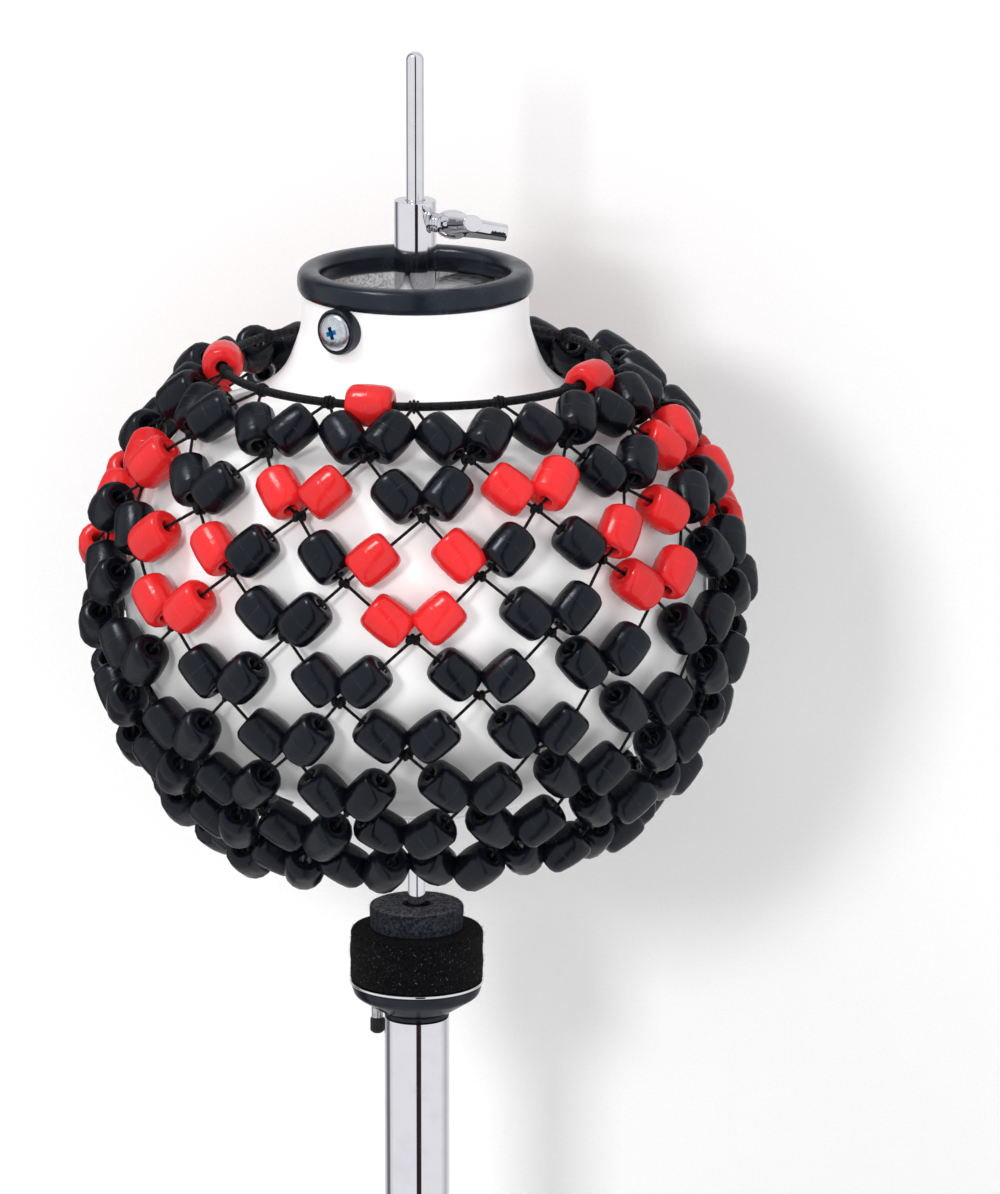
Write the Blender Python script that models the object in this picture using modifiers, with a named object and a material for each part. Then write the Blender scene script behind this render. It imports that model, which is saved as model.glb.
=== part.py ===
"""Bead-netted gourd shaker that hangs by a clutch on the pull rod of a hi-hat stand.

The model is the shaker, its clutch and the top of the stand: tube, seat cup, tilting felt seat and
sprung pull rod.  Lengths are metres, +Z is up, the front of the object looks along -Y, and the origin
is the centre of the tube's lower end.
"""
import math

import bmesh
import bpy
from mathutils import Matrix, Vector

TAU = 2.0 * math.pi

# Fits
GAP = 0.0003
SLIDE_GAP = 0.0006
NET_GAP = 0.00022
BAR_CLEAR = 0.00037

# Stand tube and pull rod
TUBE_R = 0.0111
TUBE_WALL = 0.0011
TUBE_LEN = 0.130
ROD_R = 0.0030
ROD_UP = 0.3366
ROD_TIP_Z = TUBE_LEN + ROD_UP
ROD_FOOT_Z = 0.044

# Seat cup, tilt plate and felts
CUP_R = 0.0225
CUP_H = 0.0121
CUP_WALL = 0.0022
CUP_SPIGOT = 0.013
CUP_NECK = 0.0014
CUP_SHOULDER = 0.0036
CUP_DRAFT = 0.0016
CUP_EDGE = 0.0006
GUIDE_OUT = 0.0062
PLATE_R = 0.02305
PLATE_T = 0.0010
SEAT_FELT_R = 0.0226
SEAT_FELT_H = 0.0178
TOP_FELT_R = 0.0160
TOP_FELT_H = 0.0084
FELT_HOLE_R = 0.0049
FELT_EDGE = 0.0008
SEAT_CROWN = 0.0030
TOP_CROWN = 0.0010
TILT_SCREW_AT = 0.0156
TILT_SCREW_ANGLE = math.radians(151.0)
TILT_HINGE_AT = 0.0200
TILT_R = 0.0018
KNOB_R = 0.00245
KNOB_DROP = 0.0082
KNOB_H = 0.0069
KNOB_EDGE = 0.0004

# Return spring, its collar and the rod's coupling
SPRING_TOP = 0.094
SPRING_LOW = 0.034
SPRING_COLLAR_H = 0.0080
SPRING_SEAT_H = 0.0050
WIRE_R = 0.0008
COIL_R = 0.0078
TURNS = 7
COUPLING_R = 0.0050
COUPLING_HALF = 0.0100
COUPLING_BORE_R = 0.0024

# Shell
SHELL_R = 0.0990
SHELL_UPPER = 0.0905
SHELL_LOWER = 0.0790
SHELL_UP = 0.152
SHELL_Z = TUBE_LEN + SHELL_UP
SHELL_WALL = 0.0030
NECK_R = 0.0384
NECK_UP = 0.2582
NECK_TOP_Z = TUBE_LEN + NECK_UP
FOOT_R = 0.0462
FOOT_H = 0.0045
FOOT_FLARE = 0.0060
ROD_HOLE_R = 0.0140
RIM_HALF_W = 0.00415
RIM_HALF_H = 0.0046
RIM_UP = 0.2582
RIM_INSET = 0.0012
RIM_Z = TUBE_LEN + RIM_UP

# Clutch and the bracket in the neck
COLLAR_R = 0.0071
COLLAR_UP = 0.2558
COLLAR_Z = TUBE_LEN + COLLAR_UP
COLLAR_H = 0.0301
COLLAR_EDGE = 0.0007
SOCKET = 0.0050
SLEEVE_R = 0.0050
SLEEVE_TAIL = 0.0040
CLUTCH_WASHER_R = 0.0066
CLUTCH_FELT_R = 0.0130
CLUTCH_FELT_H = 0.0065
CLUTCH_NUT_R = 0.0090
CLUTCH_NUT_H = 0.0085
BAR_UP = 0.2517
BAR_Z = TUBE_LEN + BAR_UP
BAR_W = 0.0160
BAR_T = 0.0025
BAR_DROP = 0.0122
BAR_BEND = 0.0015
BAR_HALF = math.sqrt((NECK_R - SHELL_WALL - BAR_CLEAR) ** 2 - (0.5 * BAR_W) ** 2)
SCREW_UP = 0.2466
SCREW_Z = TUBE_LEN + SCREW_UP
SCREW_ANGLE = math.radians(-39.0)
SCREW_R = 0.0030
SCREW_HEAD_R = 0.00635
SCREW_HEAD_H = 0.0034
RECESS_HALF = 0.0006
NECK_NUT_R = 0.0057
NECK_NUT_T = 0.0048
SCREW_TAIL = 0.0020
WASHER_R = 0.0076
WASHER_T = 0.0030
WING_UP = 0.0230
WING_Z = COLLAR_Z + WING_UP
WING_ANGLE = math.radians(-27.0)
WING_TURN = math.radians(-18.0)
WING_SHANK_R = 0.0030
WING_HUB_R = 0.0049
WING_HUB_LEN = 0.0200
WING_SPAN = 0.0130
WING_REACH = 0.0290
WING_HALF_T = 0.0013
WING_EDGE = 0.0009

# Bead net
BEAD_R = 0.0073
KNOT_PITCH = 0.0478
ROWS = 9
STRAND = 0.0277
STRAND_GIVE = 0.12
NET_START = math.radians(52.8)
NET_R = SHELL_R + BEAD_R + NET_GAP
NET_UPPER = SHELL_UPPER + BEAD_R + NET_GAP
NET_SAG = 0.0330
NET_LOWER = SHELL_LOWER + NET_SAG
KNOTS = round(TAU * NET_R / KNOT_PITCH)
BEAD_END_R = 0.00525
BEAD_LEN = 0.0176
BEAD_BORE_R = 0.0026
BEAD_PLACE = 0.54
CORD_R = 0.00075
KNOT_R = 0.0019
FLAT_SIDE = 0.88
BEAD_CORNER = 1.10
NECK_CORD_R = 0.0015
NECK_BEAD_STEP = 3
NECK_BEAD_PLACES = [-NECK_BEAD_STEP - 0.5, -0.5, NECK_BEAD_STEP - 0.5, KNOTS // 2 - 0.5, KNOTS // 2 + 0.5]

for old in list(bpy.data.objects):
    bpy.data.objects.remove(old, do_unlink=True)

parts = bpy.data.collections.new("hi_hat_shaker")
bpy.context.scene.collection.children.link(parts)
cutters = bpy.data.collections.new("cutters")
cutters.hide_render = True
bpy.context.scene.collection.children.link(cutters)


# Materials
def material(name, colour, roughness, metallic=0.0):
    """A Principled material with the piece's plain colour."""
    made = bpy.data.materials.new(name)
    made.use_nodes = True
    shader = made.node_tree.nodes["Principled BSDF"]
    shader.inputs["Base Color"].default_value = (*colour, 1.0)
    shader.inputs["Roughness"].default_value = roughness
    shader.inputs["Metallic"].default_value = metallic
    made.diffuse_color = (*colour, 1.0)
    return made


SHELL_WHITE = material("shell_white", (0.83, 0.83, 0.84), 0.12)
RUBBER = material("rim_rubber", (0.012, 0.013, 0.018), 0.35)
BEAD_BLACK = material("bead_black", (0.010, 0.010, 0.012), 0.18)
BEAD_RED = material("bead_red", (0.55, 0.015, 0.02), 0.18)
CORD_BLACK = material("cord_black", (0.015, 0.015, 0.017), 0.75)
CHROME = material("chrome", (0.80, 0.80, 0.82), 0.08, 1.0)
STEEL = material("zinc_steel", (0.55, 0.56, 0.58), 0.35, 1.0)
FELT_BLACK = material("felt_black", (0.012, 0.012, 0.014), 0.95)
FELT_GREY = material("felt_grey", (0.030, 0.031, 0.035), 0.95)
CUP_BLACK = material("cup_black", (0.020, 0.021, 0.023), 0.45)
NYLON = material("nylon_grey", (0.45, 0.45, 0.46), 0.5)


# Building blocks
def keep(obj, mat):
    """Put a piece in the object's collection with its material."""
    parts.objects.link(obj)
    obj.data.materials.append(mat)
    return obj


def cutter(obj):
    """Put a cutting body with the other cutters."""
    cutters.objects.link(obj)
    obj.display_type = "WIRE"
    obj.hide_render = True
    return obj


def profile_object(name, points, closed):
    """An outline in the XZ plane, ready for a Screw modifier."""
    mesh = bpy.data.meshes.new(name)
    edges = [(i, i + 1) for i in range(len(points) - 1)]
    if closed:
        edges.append((len(points) - 1, 0))
    mesh.from_pydata([(r, 0.0, z) for r, z in points], edges, [])
    return bpy.data.objects.new(name, mesh)


def turn(obj, steps):
    """Turn the outline about Z."""
    screw = obj.modifiers.new("turn", "SCREW")
    screw.axis = "Z"
    screw.angle = TAU
    screw.steps = steps
    screw.render_steps = steps
    screw.use_merge_vertices = True
    screw.merge_threshold = 1e-6
    return obj


def ring(name, points, mat, steps):
    """A turned piece with a hole: its closed outline runs down the outside and up the inside."""
    return turn(keep(profile_object(name, points, True), mat), steps)


def solid(name, points, mat, steps):
    """A turned piece with no hole: its outline runs from the axis at the top to the axis below."""
    return turn(keep(profile_object(name, points, False), mat), steps)


def sleeve_points(outer, inner, low, high, edge=0.0):
    """Outline of a plain bush with its outer edges chamfered."""
    if edge == 0.0:
        return [(outer, high), (outer, low), (inner, low), (inner, high)]
    return [(outer - edge, high), (outer, high - edge), (outer, low + edge), (outer - edge, low),
            (inner, low), (inner, high)]


def cut(obj, tool, name):
    """Take a cutter away from a piece."""
    mod = obj.modifiers.new(name, "BOOLEAN")
    mod.operation = "DIFFERENCE"
    mod.solver = "EXACT"
    mod.object = tool
    return mod


def join(obj, tool, name):
    """Fuse a helper body into a piece."""
    mod = obj.modifiers.new(name, "BOOLEAN")
    mod.operation = "UNION"
    mod.solver = "EXACT"
    mod.object = tool
    return mod


def cylinder(name, radius, low, high, steps, place=None):
    """A closed cylinder cutter along Z from low to high, then placed."""
    obj = profile_object(name, [(0.0, high), (radius, high), (radius, low), (0.0, low)], False)
    cutter(turn(obj, steps))
    if place is not None:
        obj.matrix_world = place
    return obj


def radial(angle, z):
    """Frame whose Z axis points outward at an angle from the front, counted to the right."""
    outward = Vector((math.sin(angle), -math.cos(angle), 0.0))
    up = Vector((0.0, 0.0, 1.0))
    side = up.cross(outward)
    frame = Matrix((side, up, outward)).transposed().to_4x4()
    frame.translation = Vector((0.0, 0.0, z))
    return frame


def smooth(points, per_span):
    """Points along a Catmull-Rom curve through the given outline points."""
    padded = [points[0]] + list(points) + [points[-1]]
    made = []
    for i in range(1, len(padded) - 2):
        a, b, c, d = (Vector(p) for p in padded[i - 1:i + 3])
        for step in range(per_span):
            t = step / per_span
            at = 0.5 * ((2 * b) + (c - a) * t + (2 * a - 5 * b + 4 * c - d) * t * t
                        + (3 * b - a - 3 * c + d) * t ** 3)
            made.append((at.x, at.y))
    made.append(tuple(points[-1]))
    return made


def outward(mesh):
    """Weld a mesh and turn its faces outward."""
    faces = bmesh.new()
    faces.from_mesh(mesh)
    bmesh.ops.remove_doubles(faces, verts=faces.verts, dist=1e-6)
    bmesh.ops.recalc_face_normals(faces, faces=faces.faces)
    faces.to_mesh(mesh)
    faces.free()
    return mesh


def mesh_of(obj):
    """Replace a curve object by the mesh it makes."""
    bpy.context.view_layer.update()
    seen = obj.evaluated_get(bpy.context.evaluated_depsgraph_get())
    mesh = outward(bpy.data.meshes.new_from_object(seen))
    made = bpy.data.objects.new(obj.name, mesh)
    made.matrix_world = obj.matrix_world.copy()
    name = obj.name
    bpy.data.objects.remove(obj, do_unlink=True)
    made.name = name
    mesh.name = name
    return made


def tube(name, points, radii, sides, closed):
    """A round tube along points, with a radius at each point."""
    shape = bpy.data.curves.new(name + "_section", "CURVE")
    shape.dimensions = "2D"
    rim = shape.splines.new("POLY")
    rim.points.add(sides - 1)
    for i, point in enumerate(rim.points):
        turn_at = TAU * i / sides
        point.co = (math.cos(turn_at), math.sin(turn_at), 0.0, 1.0)
    rim.use_cyclic_u = True
    section = bpy.data.objects.new(name + "_section", shape)
    cutters.objects.link(section)
    curve = bpy.data.curves.new(name, "CURVE")
    curve.dimensions = "3D"
    curve.twist_mode = "MINIMUM" if not closed else "Z_UP"
    curve.bevel_mode = "OBJECT"
    curve.bevel_object = section
    curve.use_fill_caps = True
    line = curve.splines.new("POLY")
    line.points.add(len(points) - 1)
    for point, at, radius in zip(line.points, points, radii):
        point.co = (*at, 1.0)
        point.radius = radius
    line.use_cyclic_u = closed
    obj = bpy.data.objects.new(name, curve)
    parts.objects.link(obj)
    made = mesh_of(obj)
    bpy.data.objects.remove(section, do_unlink=True)
    for mat in list(made.data.materials):
        made.data.materials.pop()
    return made


# Stand tube with its seat cup and rod guide
TUBE_IN = TUBE_R - TUBE_WALL
ring("stand_tube", sleeve_points(TUBE_R, TUBE_IN, 0.0, TUBE_LEN), CHROME, 24)

CUP_LOW = TUBE_LEN + GAP
CUP_TOP = TUBE_LEN + CUP_H
SPIGOT_R = TUBE_IN - GAP
bowl_low = CUP_LOW + CUP_NECK
bowl_high = CUP_TOP - CUP_EDGE
shoulder_z = bowl_high - CUP_SHOULDER
bowl = [(TUBE_R, bowl_low), (CUP_R - 1.5 * CUP_DRAFT, shoulder_z),
        (CUP_R - 0.5 * CUP_DRAFT, shoulder_z + 0.4 * CUP_SHOULDER), (CUP_R, bowl_high)]
hollow = [(CUP_R - CUP_WALL, CUP_TOP), (CUP_R - CUP_WALL - CUP_DRAFT, shoulder_z + CUP_WALL),
          (TUBE_R, bowl_low + 1.2 * CUP_WALL)]
cup_points = [(CUP_R, CUP_TOP)] + bowl[::-1]
cup_points += [(TUBE_R, CUP_LOW), (SPIGOT_R, CUP_LOW), (SPIGOT_R, TUBE_LEN - CUP_SPIGOT)]
boss_top = bowl_low + 2.0 * CUP_WALL
cup_points += [(GUIDE_OUT + GAP, TUBE_LEN - CUP_SPIGOT), (GUIDE_OUT + GAP, boss_top)]
cup_points += [(TUBE_IN - CUP_EDGE, boss_top)]
cup_points += hollow[::-1]
seat_cup = ring("seat_cup", cup_points, CUP_BLACK, 24)

ring("rod_guide", sleeve_points(GUIDE_OUT, ROD_R + GAP, TUBE_LEN - CUP_SPIGOT, boss_top - GAP), NYLON, 16)

# Tilt screw under the cup, and the hole it is threaded through
tilt_x = TILT_SCREW_AT * math.cos(TILT_SCREW_ANGLE)
tilt_y = TILT_SCREW_AT * math.sin(TILT_SCREW_ANGLE)
knob_low = TUBE_LEN - KNOB_DROP
knob_top = knob_low + KNOB_H
tilt_points = [(0.0, CUP_TOP - GAP), (TILT_R, CUP_TOP - GAP), (TILT_R, knob_top),
               (KNOB_R - KNOB_EDGE, knob_top), (KNOB_R, knob_top - KNOB_EDGE),
               (KNOB_R, knob_low + 2.0 * KNOB_EDGE),
               (KNOB_R - 2.0 * KNOB_EDGE, knob_low), (0.0, knob_low)]
tilt_screw = solid("tilt_thumb_screw", tilt_points, CUP_BLACK, 12)
tilt_screw.location = (tilt_x, tilt_y, 0.0)
screw_way = cylinder("tilt_screw_way", TILT_R + GAP, knob_low, CUP_TOP + CUP_H, 12,
                     Matrix.Translation((tilt_x, tilt_y, 0.0)))
cut(seat_cup, screw_way, "tilt screw hole")

# Tilting seat: plate, seat felt and top felt
PLATE_LOW = CUP_TOP + GAP
ring("tilt_plate", sleeve_points(PLATE_R, FELT_HOLE_R, PLATE_LOW, PLATE_LOW + PLATE_T), CHROME, 24)


def felt(name, radius, low, height, hole, crown, mat):
    """A felt washer with softened edges."""
    points = []
    for i in range(4):
        part_way = 0.5 * math.pi * i / 3
        points.append((radius - crown + crown * math.sin(part_way),
                       low + height - crown + crown * math.cos(part_way)))
    points += [(radius, low + FELT_EDGE), (radius - FELT_EDGE, low), (hole, low), (hole, low + height)]
    return ring(name, points, mat, 24)


SEAT_LOW = PLATE_LOW + PLATE_T + GAP
felt("seat_felt", SEAT_FELT_R, SEAT_LOW, SEAT_FELT_H, FELT_HOLE_R, SEAT_CROWN, FELT_BLACK)
TOP_LOW = SEAT_LOW + SEAT_FELT_H + GAP
felt("top_felt", TOP_FELT_R, TOP_LOW, TOP_FELT_H, FELT_HOLE_R, TOP_CROWN, FELT_GREY)

# Pull rod with its collar, coupling and return spring
rod_points = [(0.0, ROD_TIP_Z), (ROD_R * 0.5, ROD_TIP_Z - ROD_R * 0.18),
              (ROD_R * 0.86, ROD_TIP_Z - ROD_R * 0.5), (ROD_R, ROD_TIP_Z - ROD_R),
              (ROD_R, ROD_FOOT_Z), (0.0, ROD_FOOT_Z)]
solid("pull_rod", rod_points, CHROME, 16)
ring("spring_collar", sleeve_points(TUBE_IN - SLIDE_GAP, ROD_R + GAP, SPRING_TOP + GAP,
                                    SPRING_TOP + SPRING_COLLAR_H, CUP_EDGE), STEEL, 16)
coupling_top = ROD_FOOT_Z + COUPLING_HALF
coupling_low = ROD_FOOT_Z - COUPLING_HALF
rod_stop = ROD_FOOT_Z - GAP
coupling = [(COUPLING_R, coupling_top), (COUPLING_R, coupling_low), (COUPLING_BORE_R, coupling_low),
            (COUPLING_BORE_R, rod_stop), (ROD_R + GAP, rod_stop), (ROD_R + GAP, coupling_top)]
ring("rod_coupling", coupling, STEEL, 16)
ring("spring_seat", sleeve_points(TUBE_IN - GAP, COUPLING_R + SLIDE_GAP, SPRING_LOW - SPRING_SEAT_H,
                                  SPRING_LOW - GAP), STEEL, 16)
coil_low = SPRING_LOW + WIRE_R
coil_high = SPRING_TOP - WIRE_R
coil = []
for i in range(TURNS * 8 + 1):
    turn_at = TAU * i / 8
    height = coil_low + (coil_high - coil_low) * i / (TURNS * 8)
    coil.append(Vector((COIL_R * math.cos(turn_at), COIL_R * math.sin(turn_at), height)))
coil_room = min((a - b).length for i, a in enumerate(coil) for b in coil[i + 5:]) - 2.0 * WIRE_R
print("return_spring: least gap between its turns", round(coil_room * 1000.0, 2), "mm")
keep(tube("return_spring", coil, [WIRE_R] * len(coil), 4, False), STEEL)


# Shell outline
def body_point(angle, inset=0.0):
    """A point of the shell's round body, at an angle above its widest line."""
    tall = SHELL_UPPER if angle > 0 else SHELL_LOWER
    return ((SHELL_R - inset) * math.cos(angle), SHELL_Z + (tall - inset) * math.sin(angle))


def neck_curve(inset, per_span=2):
    """The neck from its top edge down its flare to the shoulder."""
    start = body_point(math.radians(40.0), inset)
    drop = NECK_TOP_Z - start[1]
    spread = start[0] - NECK_R + inset
    r = NECK_R - inset
    z = NECK_TOP_Z
    flare = [(r, z), (r, z - 0.26 * drop), (r + 0.045 * spread, z - 0.42 * drop),
             (r + 0.19 * spread, z - 0.66 * drop), (r + 0.50 * spread, z - 0.845 * drop), start]
    return smooth(flare, per_span)


FOOT_Z = SHELL_Z - SHELL_LOWER * 0.886
foot_angle = -math.acos((FOOT_R + FOOT_FLARE) / SHELL_R)
BODY_STEPS = 8
shoulder = math.radians(40.0)
out_angles = [shoulder + (foot_angle - shoulder) * i / BODY_STEPS for i in range(1, BODY_STEPS + 1)]
FLOOR_T = SHELL_WALL
floor_z = FOOT_Z + FOOT_H - SHELL_WALL / 3.0
shell_points = neck_curve(0.0) + [body_point(a) for a in out_angles]
shell_points += [(FOOT_R + 0.0004, floor_z + 0.0006), (FOOT_R, FOOT_Z), (FOOT_R - SHELL_WALL, FOOT_Z)]
shell_points += [(FOOT_R - SHELL_WALL, floor_z), (ROD_HOLE_R, floor_z), (ROD_HOLE_R, floor_z + FLOOR_T)]
inside = [body_point(a, SHELL_WALL) for a in out_angles[::-2]]
shell_points += [(r, z) for r, z in inside if z > floor_z + FLOOR_T * 1.3]
shell_points += neck_curve(SHELL_WALL, 1)[::-1]
shell = ring("gourd_shell", shell_points, SHELL_WHITE, 28)

# Rubber rim over the neck's edge
rim_mid = NECK_R - SHELL_WALL * 0.5 - RIM_INSET
groove_out = NECK_R + GAP
groove_in = NECK_R - SHELL_WALL - GAP
lip_out = -math.acos((groove_out - rim_mid) / RIM_HALF_W)
lip_in = TAU - math.acos((groove_in - rim_mid) / RIM_HALF_W)
RIM_STEPS = 8
rim_points = []
for i in range(RIM_STEPS + 1):
    angle = lip_out + (lip_in - lip_out) * i / RIM_STEPS
    rim_points.append((rim_mid + RIM_HALF_W * math.cos(angle), RIM_Z + RIM_HALF_H * math.sin(angle)))
rim_points += [(groove_in, NECK_TOP_Z + GAP), (groove_out, NECK_TOP_Z + GAP)]
ring("neck_rim", rim_points[::-1], RUBBER, 28)

# Clutch collar, sleeve, washer, felt and nut
collar_top = COLLAR_Z + COLLAR_H
collar_points = [(COLLAR_R - COLLAR_EDGE, collar_top), (COLLAR_R, collar_top - COLLAR_EDGE),
                 (COLLAR_R, COLLAR_Z + COLLAR_EDGE), (COLLAR_R - COLLAR_EDGE, COLLAR_Z),
                 (SLEEVE_R + GAP, COLLAR_Z), (SLEEVE_R + GAP, COLLAR_Z + SOCKET),
                 (ROD_R + GAP, COLLAR_Z + SOCKET), (ROD_R + GAP, collar_top)]
collar = ring("clutch_collar", collar_points, CHROME, 20)
BAR_TOP = BAR_Z + BAR_T
ring("clutch_washer", sleeve_points(CLUTCH_WASHER_R, SLEEVE_R + GAP, BAR_TOP + GAP, COLLAR_Z - GAP), NYLON, 16)
felt_top = BAR_Z - GAP
felt_low = felt_top - CLUTCH_FELT_H
ring("clutch_felt", sleeve_points(CLUTCH_FELT_R, SLEEVE_R + GAP, felt_low, felt_top, FELT_EDGE), FELT_GREY, 16)
nut_top = felt_low - GAP
nut_low = nut_top - CLUTCH_NUT_H
ring("clutch_nut", sleeve_points(CLUTCH_NUT_R, SLEEVE_R + GAP, nut_low, nut_top, COLLAR_EDGE), CHROME, 16)
ring("clutch_sleeve", sleeve_points(SLEEVE_R, ROD_R + SLIDE_GAP, nut_low - SLEEVE_TAIL,
                                    COLLAR_Z + SOCKET - GAP), STEEL, 16)

# Cross bar that carries the shell: a bent strip with a hole for the sleeve and one for each screw
strip = bpy.data.curves.new("cross_bar", "CURVE")
strip.dimensions = "2D"
strip.fill_mode = "BOTH"
strip.extrude = BAR_W * 0.5
bend = strip.splines.new("POLY")
tab_low = BAR_Z - BAR_DROP
bar_outline = [(-BAR_HALF, tab_low), (-BAR_HALF, BAR_TOP - BAR_BEND), (-BAR_HALF + BAR_BEND, BAR_TOP),
               (BAR_HALF - BAR_BEND, BAR_TOP), (BAR_HALF, BAR_TOP - BAR_BEND), (BAR_HALF, tab_low),
               (BAR_HALF - BAR_T, tab_low), (BAR_HALF - BAR_T, BAR_Z), (-BAR_HALF + BAR_T, BAR_Z),
               (-BAR_HALF + BAR_T, tab_low)]
bend.points.add(len(bar_outline) - 1)
for point, (along, z) in zip(bend.points, bar_outline):
    point.co = (along, z, 0.0, 1.0)
bend.use_cyclic_u = True
strip_object = bpy.data.objects.new("cross_bar", strip)
parts.objects.link(strip_object)
bar = keep(mesh_of(strip_object), STEEL)
toward = Vector((math.sin(SCREW_ANGLE), -math.cos(SCREW_ANGLE), 0.0))
upward = Vector((0.0, 0.0, 1.0))
bar.matrix_world = Matrix((toward, upward, toward.cross(upward))).transposed().to_4x4()
cut(bar, cylinder("sleeve_way", SLEEVE_R + GAP, tab_low, BAR_TOP + BAR_DROP, 16), "sleeve hole")

# Neck screws with their washers and nuts, one at each end of the bar
neck_body = [(0.0, NECK_TOP_Z)] + neck_curve(-GAP)
neck_body += [(0.0, neck_body[-1][1])]
neck_clear = cutter(turn(profile_object("neck_clear", neck_body, False), 28))
washer_face = NECK_R + WASHER_T + GAP
head_low = washer_face + GAP
head_top = head_low + SCREW_HEAD_H
nut_face = BAR_HALF - BAR_T - GAP
screw_end = nut_face - NECK_NUT_T - SCREW_TAIL
for end, name in enumerate(("front", "rear")):
    place = radial(SCREW_ANGLE + math.pi * end, SCREW_Z)
    way = cylinder("screw_way_" + name, SCREW_R + GAP, screw_end - SCREW_TAIL, head_top, 16, place)
    cut(shell, way, "screw hole " + name)
    cut(bar, way, "screw hole " + name)
    washer_points = sleeve_points(WASHER_R, SCREW_R + GAP, NECK_R - WASHER_T, washer_face, CUP_EDGE)
    washer = ring("neck_washer_" + name, washer_points, RUBBER, 16)
    washer.matrix_world = place
    cut(washer, neck_clear, "neck side")
    head = [(0.0, head_top), (SCREW_HEAD_R * 0.55, head_top - SCREW_HEAD_H * 0.09),
            (SCREW_HEAD_R * 0.88, head_top - SCREW_HEAD_H * 0.38),
            (SCREW_HEAD_R, head_low + SCREW_HEAD_H * 0.24), (SCREW_HEAD_R, head_low),
            (SCREW_R, head_low), (SCREW_R, screw_end), (0.0, screw_end)]
    screw = solid("neck_screw_" + name, head, CHROME, 16)
    screw.matrix_world = place
    for slot, turned in (("a", 0.0), ("b", 0.5 * math.pi)):
        mesh = bpy.data.meshes.new("recess_" + slot + "_" + name)
        wide = RECESS_HALF
        long = SCREW_HEAD_R * 0.5
        short = SCREW_HEAD_R * 0.3
        top = head_top + RECESS_HALF
        low = head_top - SCREW_HEAD_H * 0.62
        corners = [(-long, -wide, top), (long, -wide, top), (long, wide, top), (-long, wide, top),
                   (-short, -wide, low), (short, -wide, low), (short, wide, low), (-short, wide, low)]
        sides = [(0, 1, 2, 3), (7, 6, 5, 4), (0, 4, 5, 1), (1, 5, 6, 2), (2, 6, 7, 3), (3, 7, 4, 0)]
        mesh.from_pydata(corners, [], sides)
        recess = cutter(bpy.data.objects.new(mesh.name, mesh))
        recess.matrix_world = place @ Matrix.Rotation(turned, 4, "Z")
        cut(screw, recess, "recess " + slot)
    nut = ring("neck_nut_" + name, sleeve_points(NECK_NUT_R, (SCREW_R + GAP) / math.cos(math.pi / 6),
                                                  nut_face - NECK_NUT_T, nut_face), STEEL, 6)
    nut.matrix_world = place

# Wing screw through the collar's side
wing_place = radial(0.5 * math.pi + WING_ANGLE, WING_Z)
wing_way = cylinder("wing_way", WING_SHANK_R + GAP, ROD_R * 0.5, COLLAR_R * 1.5, 16, wing_place)
cut(collar, wing_way, "wing screw hole")
hub_share = [(0.0, 1.0), (0.51, 0.98), (0.88, 0.90), (1.0, 0.75), (0.96, 0.59), (0.82, 0.475)]
hub = [(WING_HUB_R * r, WING_HUB_LEN * w) for r, w in hub_share]
hub += [(WING_SHANK_R, WING_HUB_LEN * 0.44), (WING_SHANK_R, ROD_R + GAP), (0.0, ROD_R + GAP)]
wing_screw = solid("wing_screw", hub, CHROME, 12)
wing_share = [(0.0, 0.64), (0.23, 0.655), (0.48, 0.83), (0.72, 0.983), (0.94, 1.0), (1.0, 0.903),
              (0.85, 0.707), (0.55, 0.466), (0.28, 0.362), (0.0, 0.345)]
half_wing = [(WING_SPAN * x, WING_REACH * w) for x, w in wing_share]
outline = half_wing + [(-x, w) for x, w in half_wing[-2:0:-1]]
plate = bpy.data.curves.new("wing_plate", "CURVE")
plate.dimensions = "2D"
plate.fill_mode = "BOTH"
plate.extrude = WING_HALF_T
plate.bevel_depth = WING_EDGE
plate.bevel_resolution = 0
plate.offset = -WING_EDGE
edge = plate.splines.new("POLY")
edge.points.add(len(outline) - 1)
for point, (x, w) in zip(edge.points, outline):
    point.co = (x, w, 0.0, 1.0)
edge.use_cyclic_u = True
plate_object = bpy.data.objects.new("wing_plate", plate)
parts.objects.link(plate_object)
wings = cutter(mesh_of(plate_object))
wing_screw.matrix_world = wing_place @ Matrix.Rotation(WING_TURN, 4, "Z")
wings.matrix_world = wing_screw.matrix_world @ Matrix.Rotation(0.5 * math.pi, 4, "X")
join(wing_screw, wings, "wings")

# Net: where the knots lie, row by row
STEP = TAU / KNOTS


def net_point(angle, rise):
    """A point of the surface that the bead centres lie on."""
    tall = NET_UPPER if rise > 0 else NET_LOWER
    r = NET_R * math.cos(rise)
    return Vector((r * math.sin(angle), -r * math.cos(angle), SHELL_Z + tall * math.sin(rise)))


def next_level(row, rise):
    """How far down a row's knots lie, one strand's length away; the belly's strands hang longer."""
    strand = STRAND * (1.0 + STRAND_GIVE * math.sin(math.pi * row / (ROWS - 1)))
    low = rise - 0.6
    high = rise
    for _ in range(40):
        middle = 0.5 * (low + high)
        if (net_point(0.0, rise) - net_point(STEP * 0.5, middle)).length > strand:
            low = middle
        else:
            high = middle
    return 0.5 * (low + high)


levels = [NET_START]
for net_row in range(ROWS):
    levels.append(next_level(net_row, levels[-1]))


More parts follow.
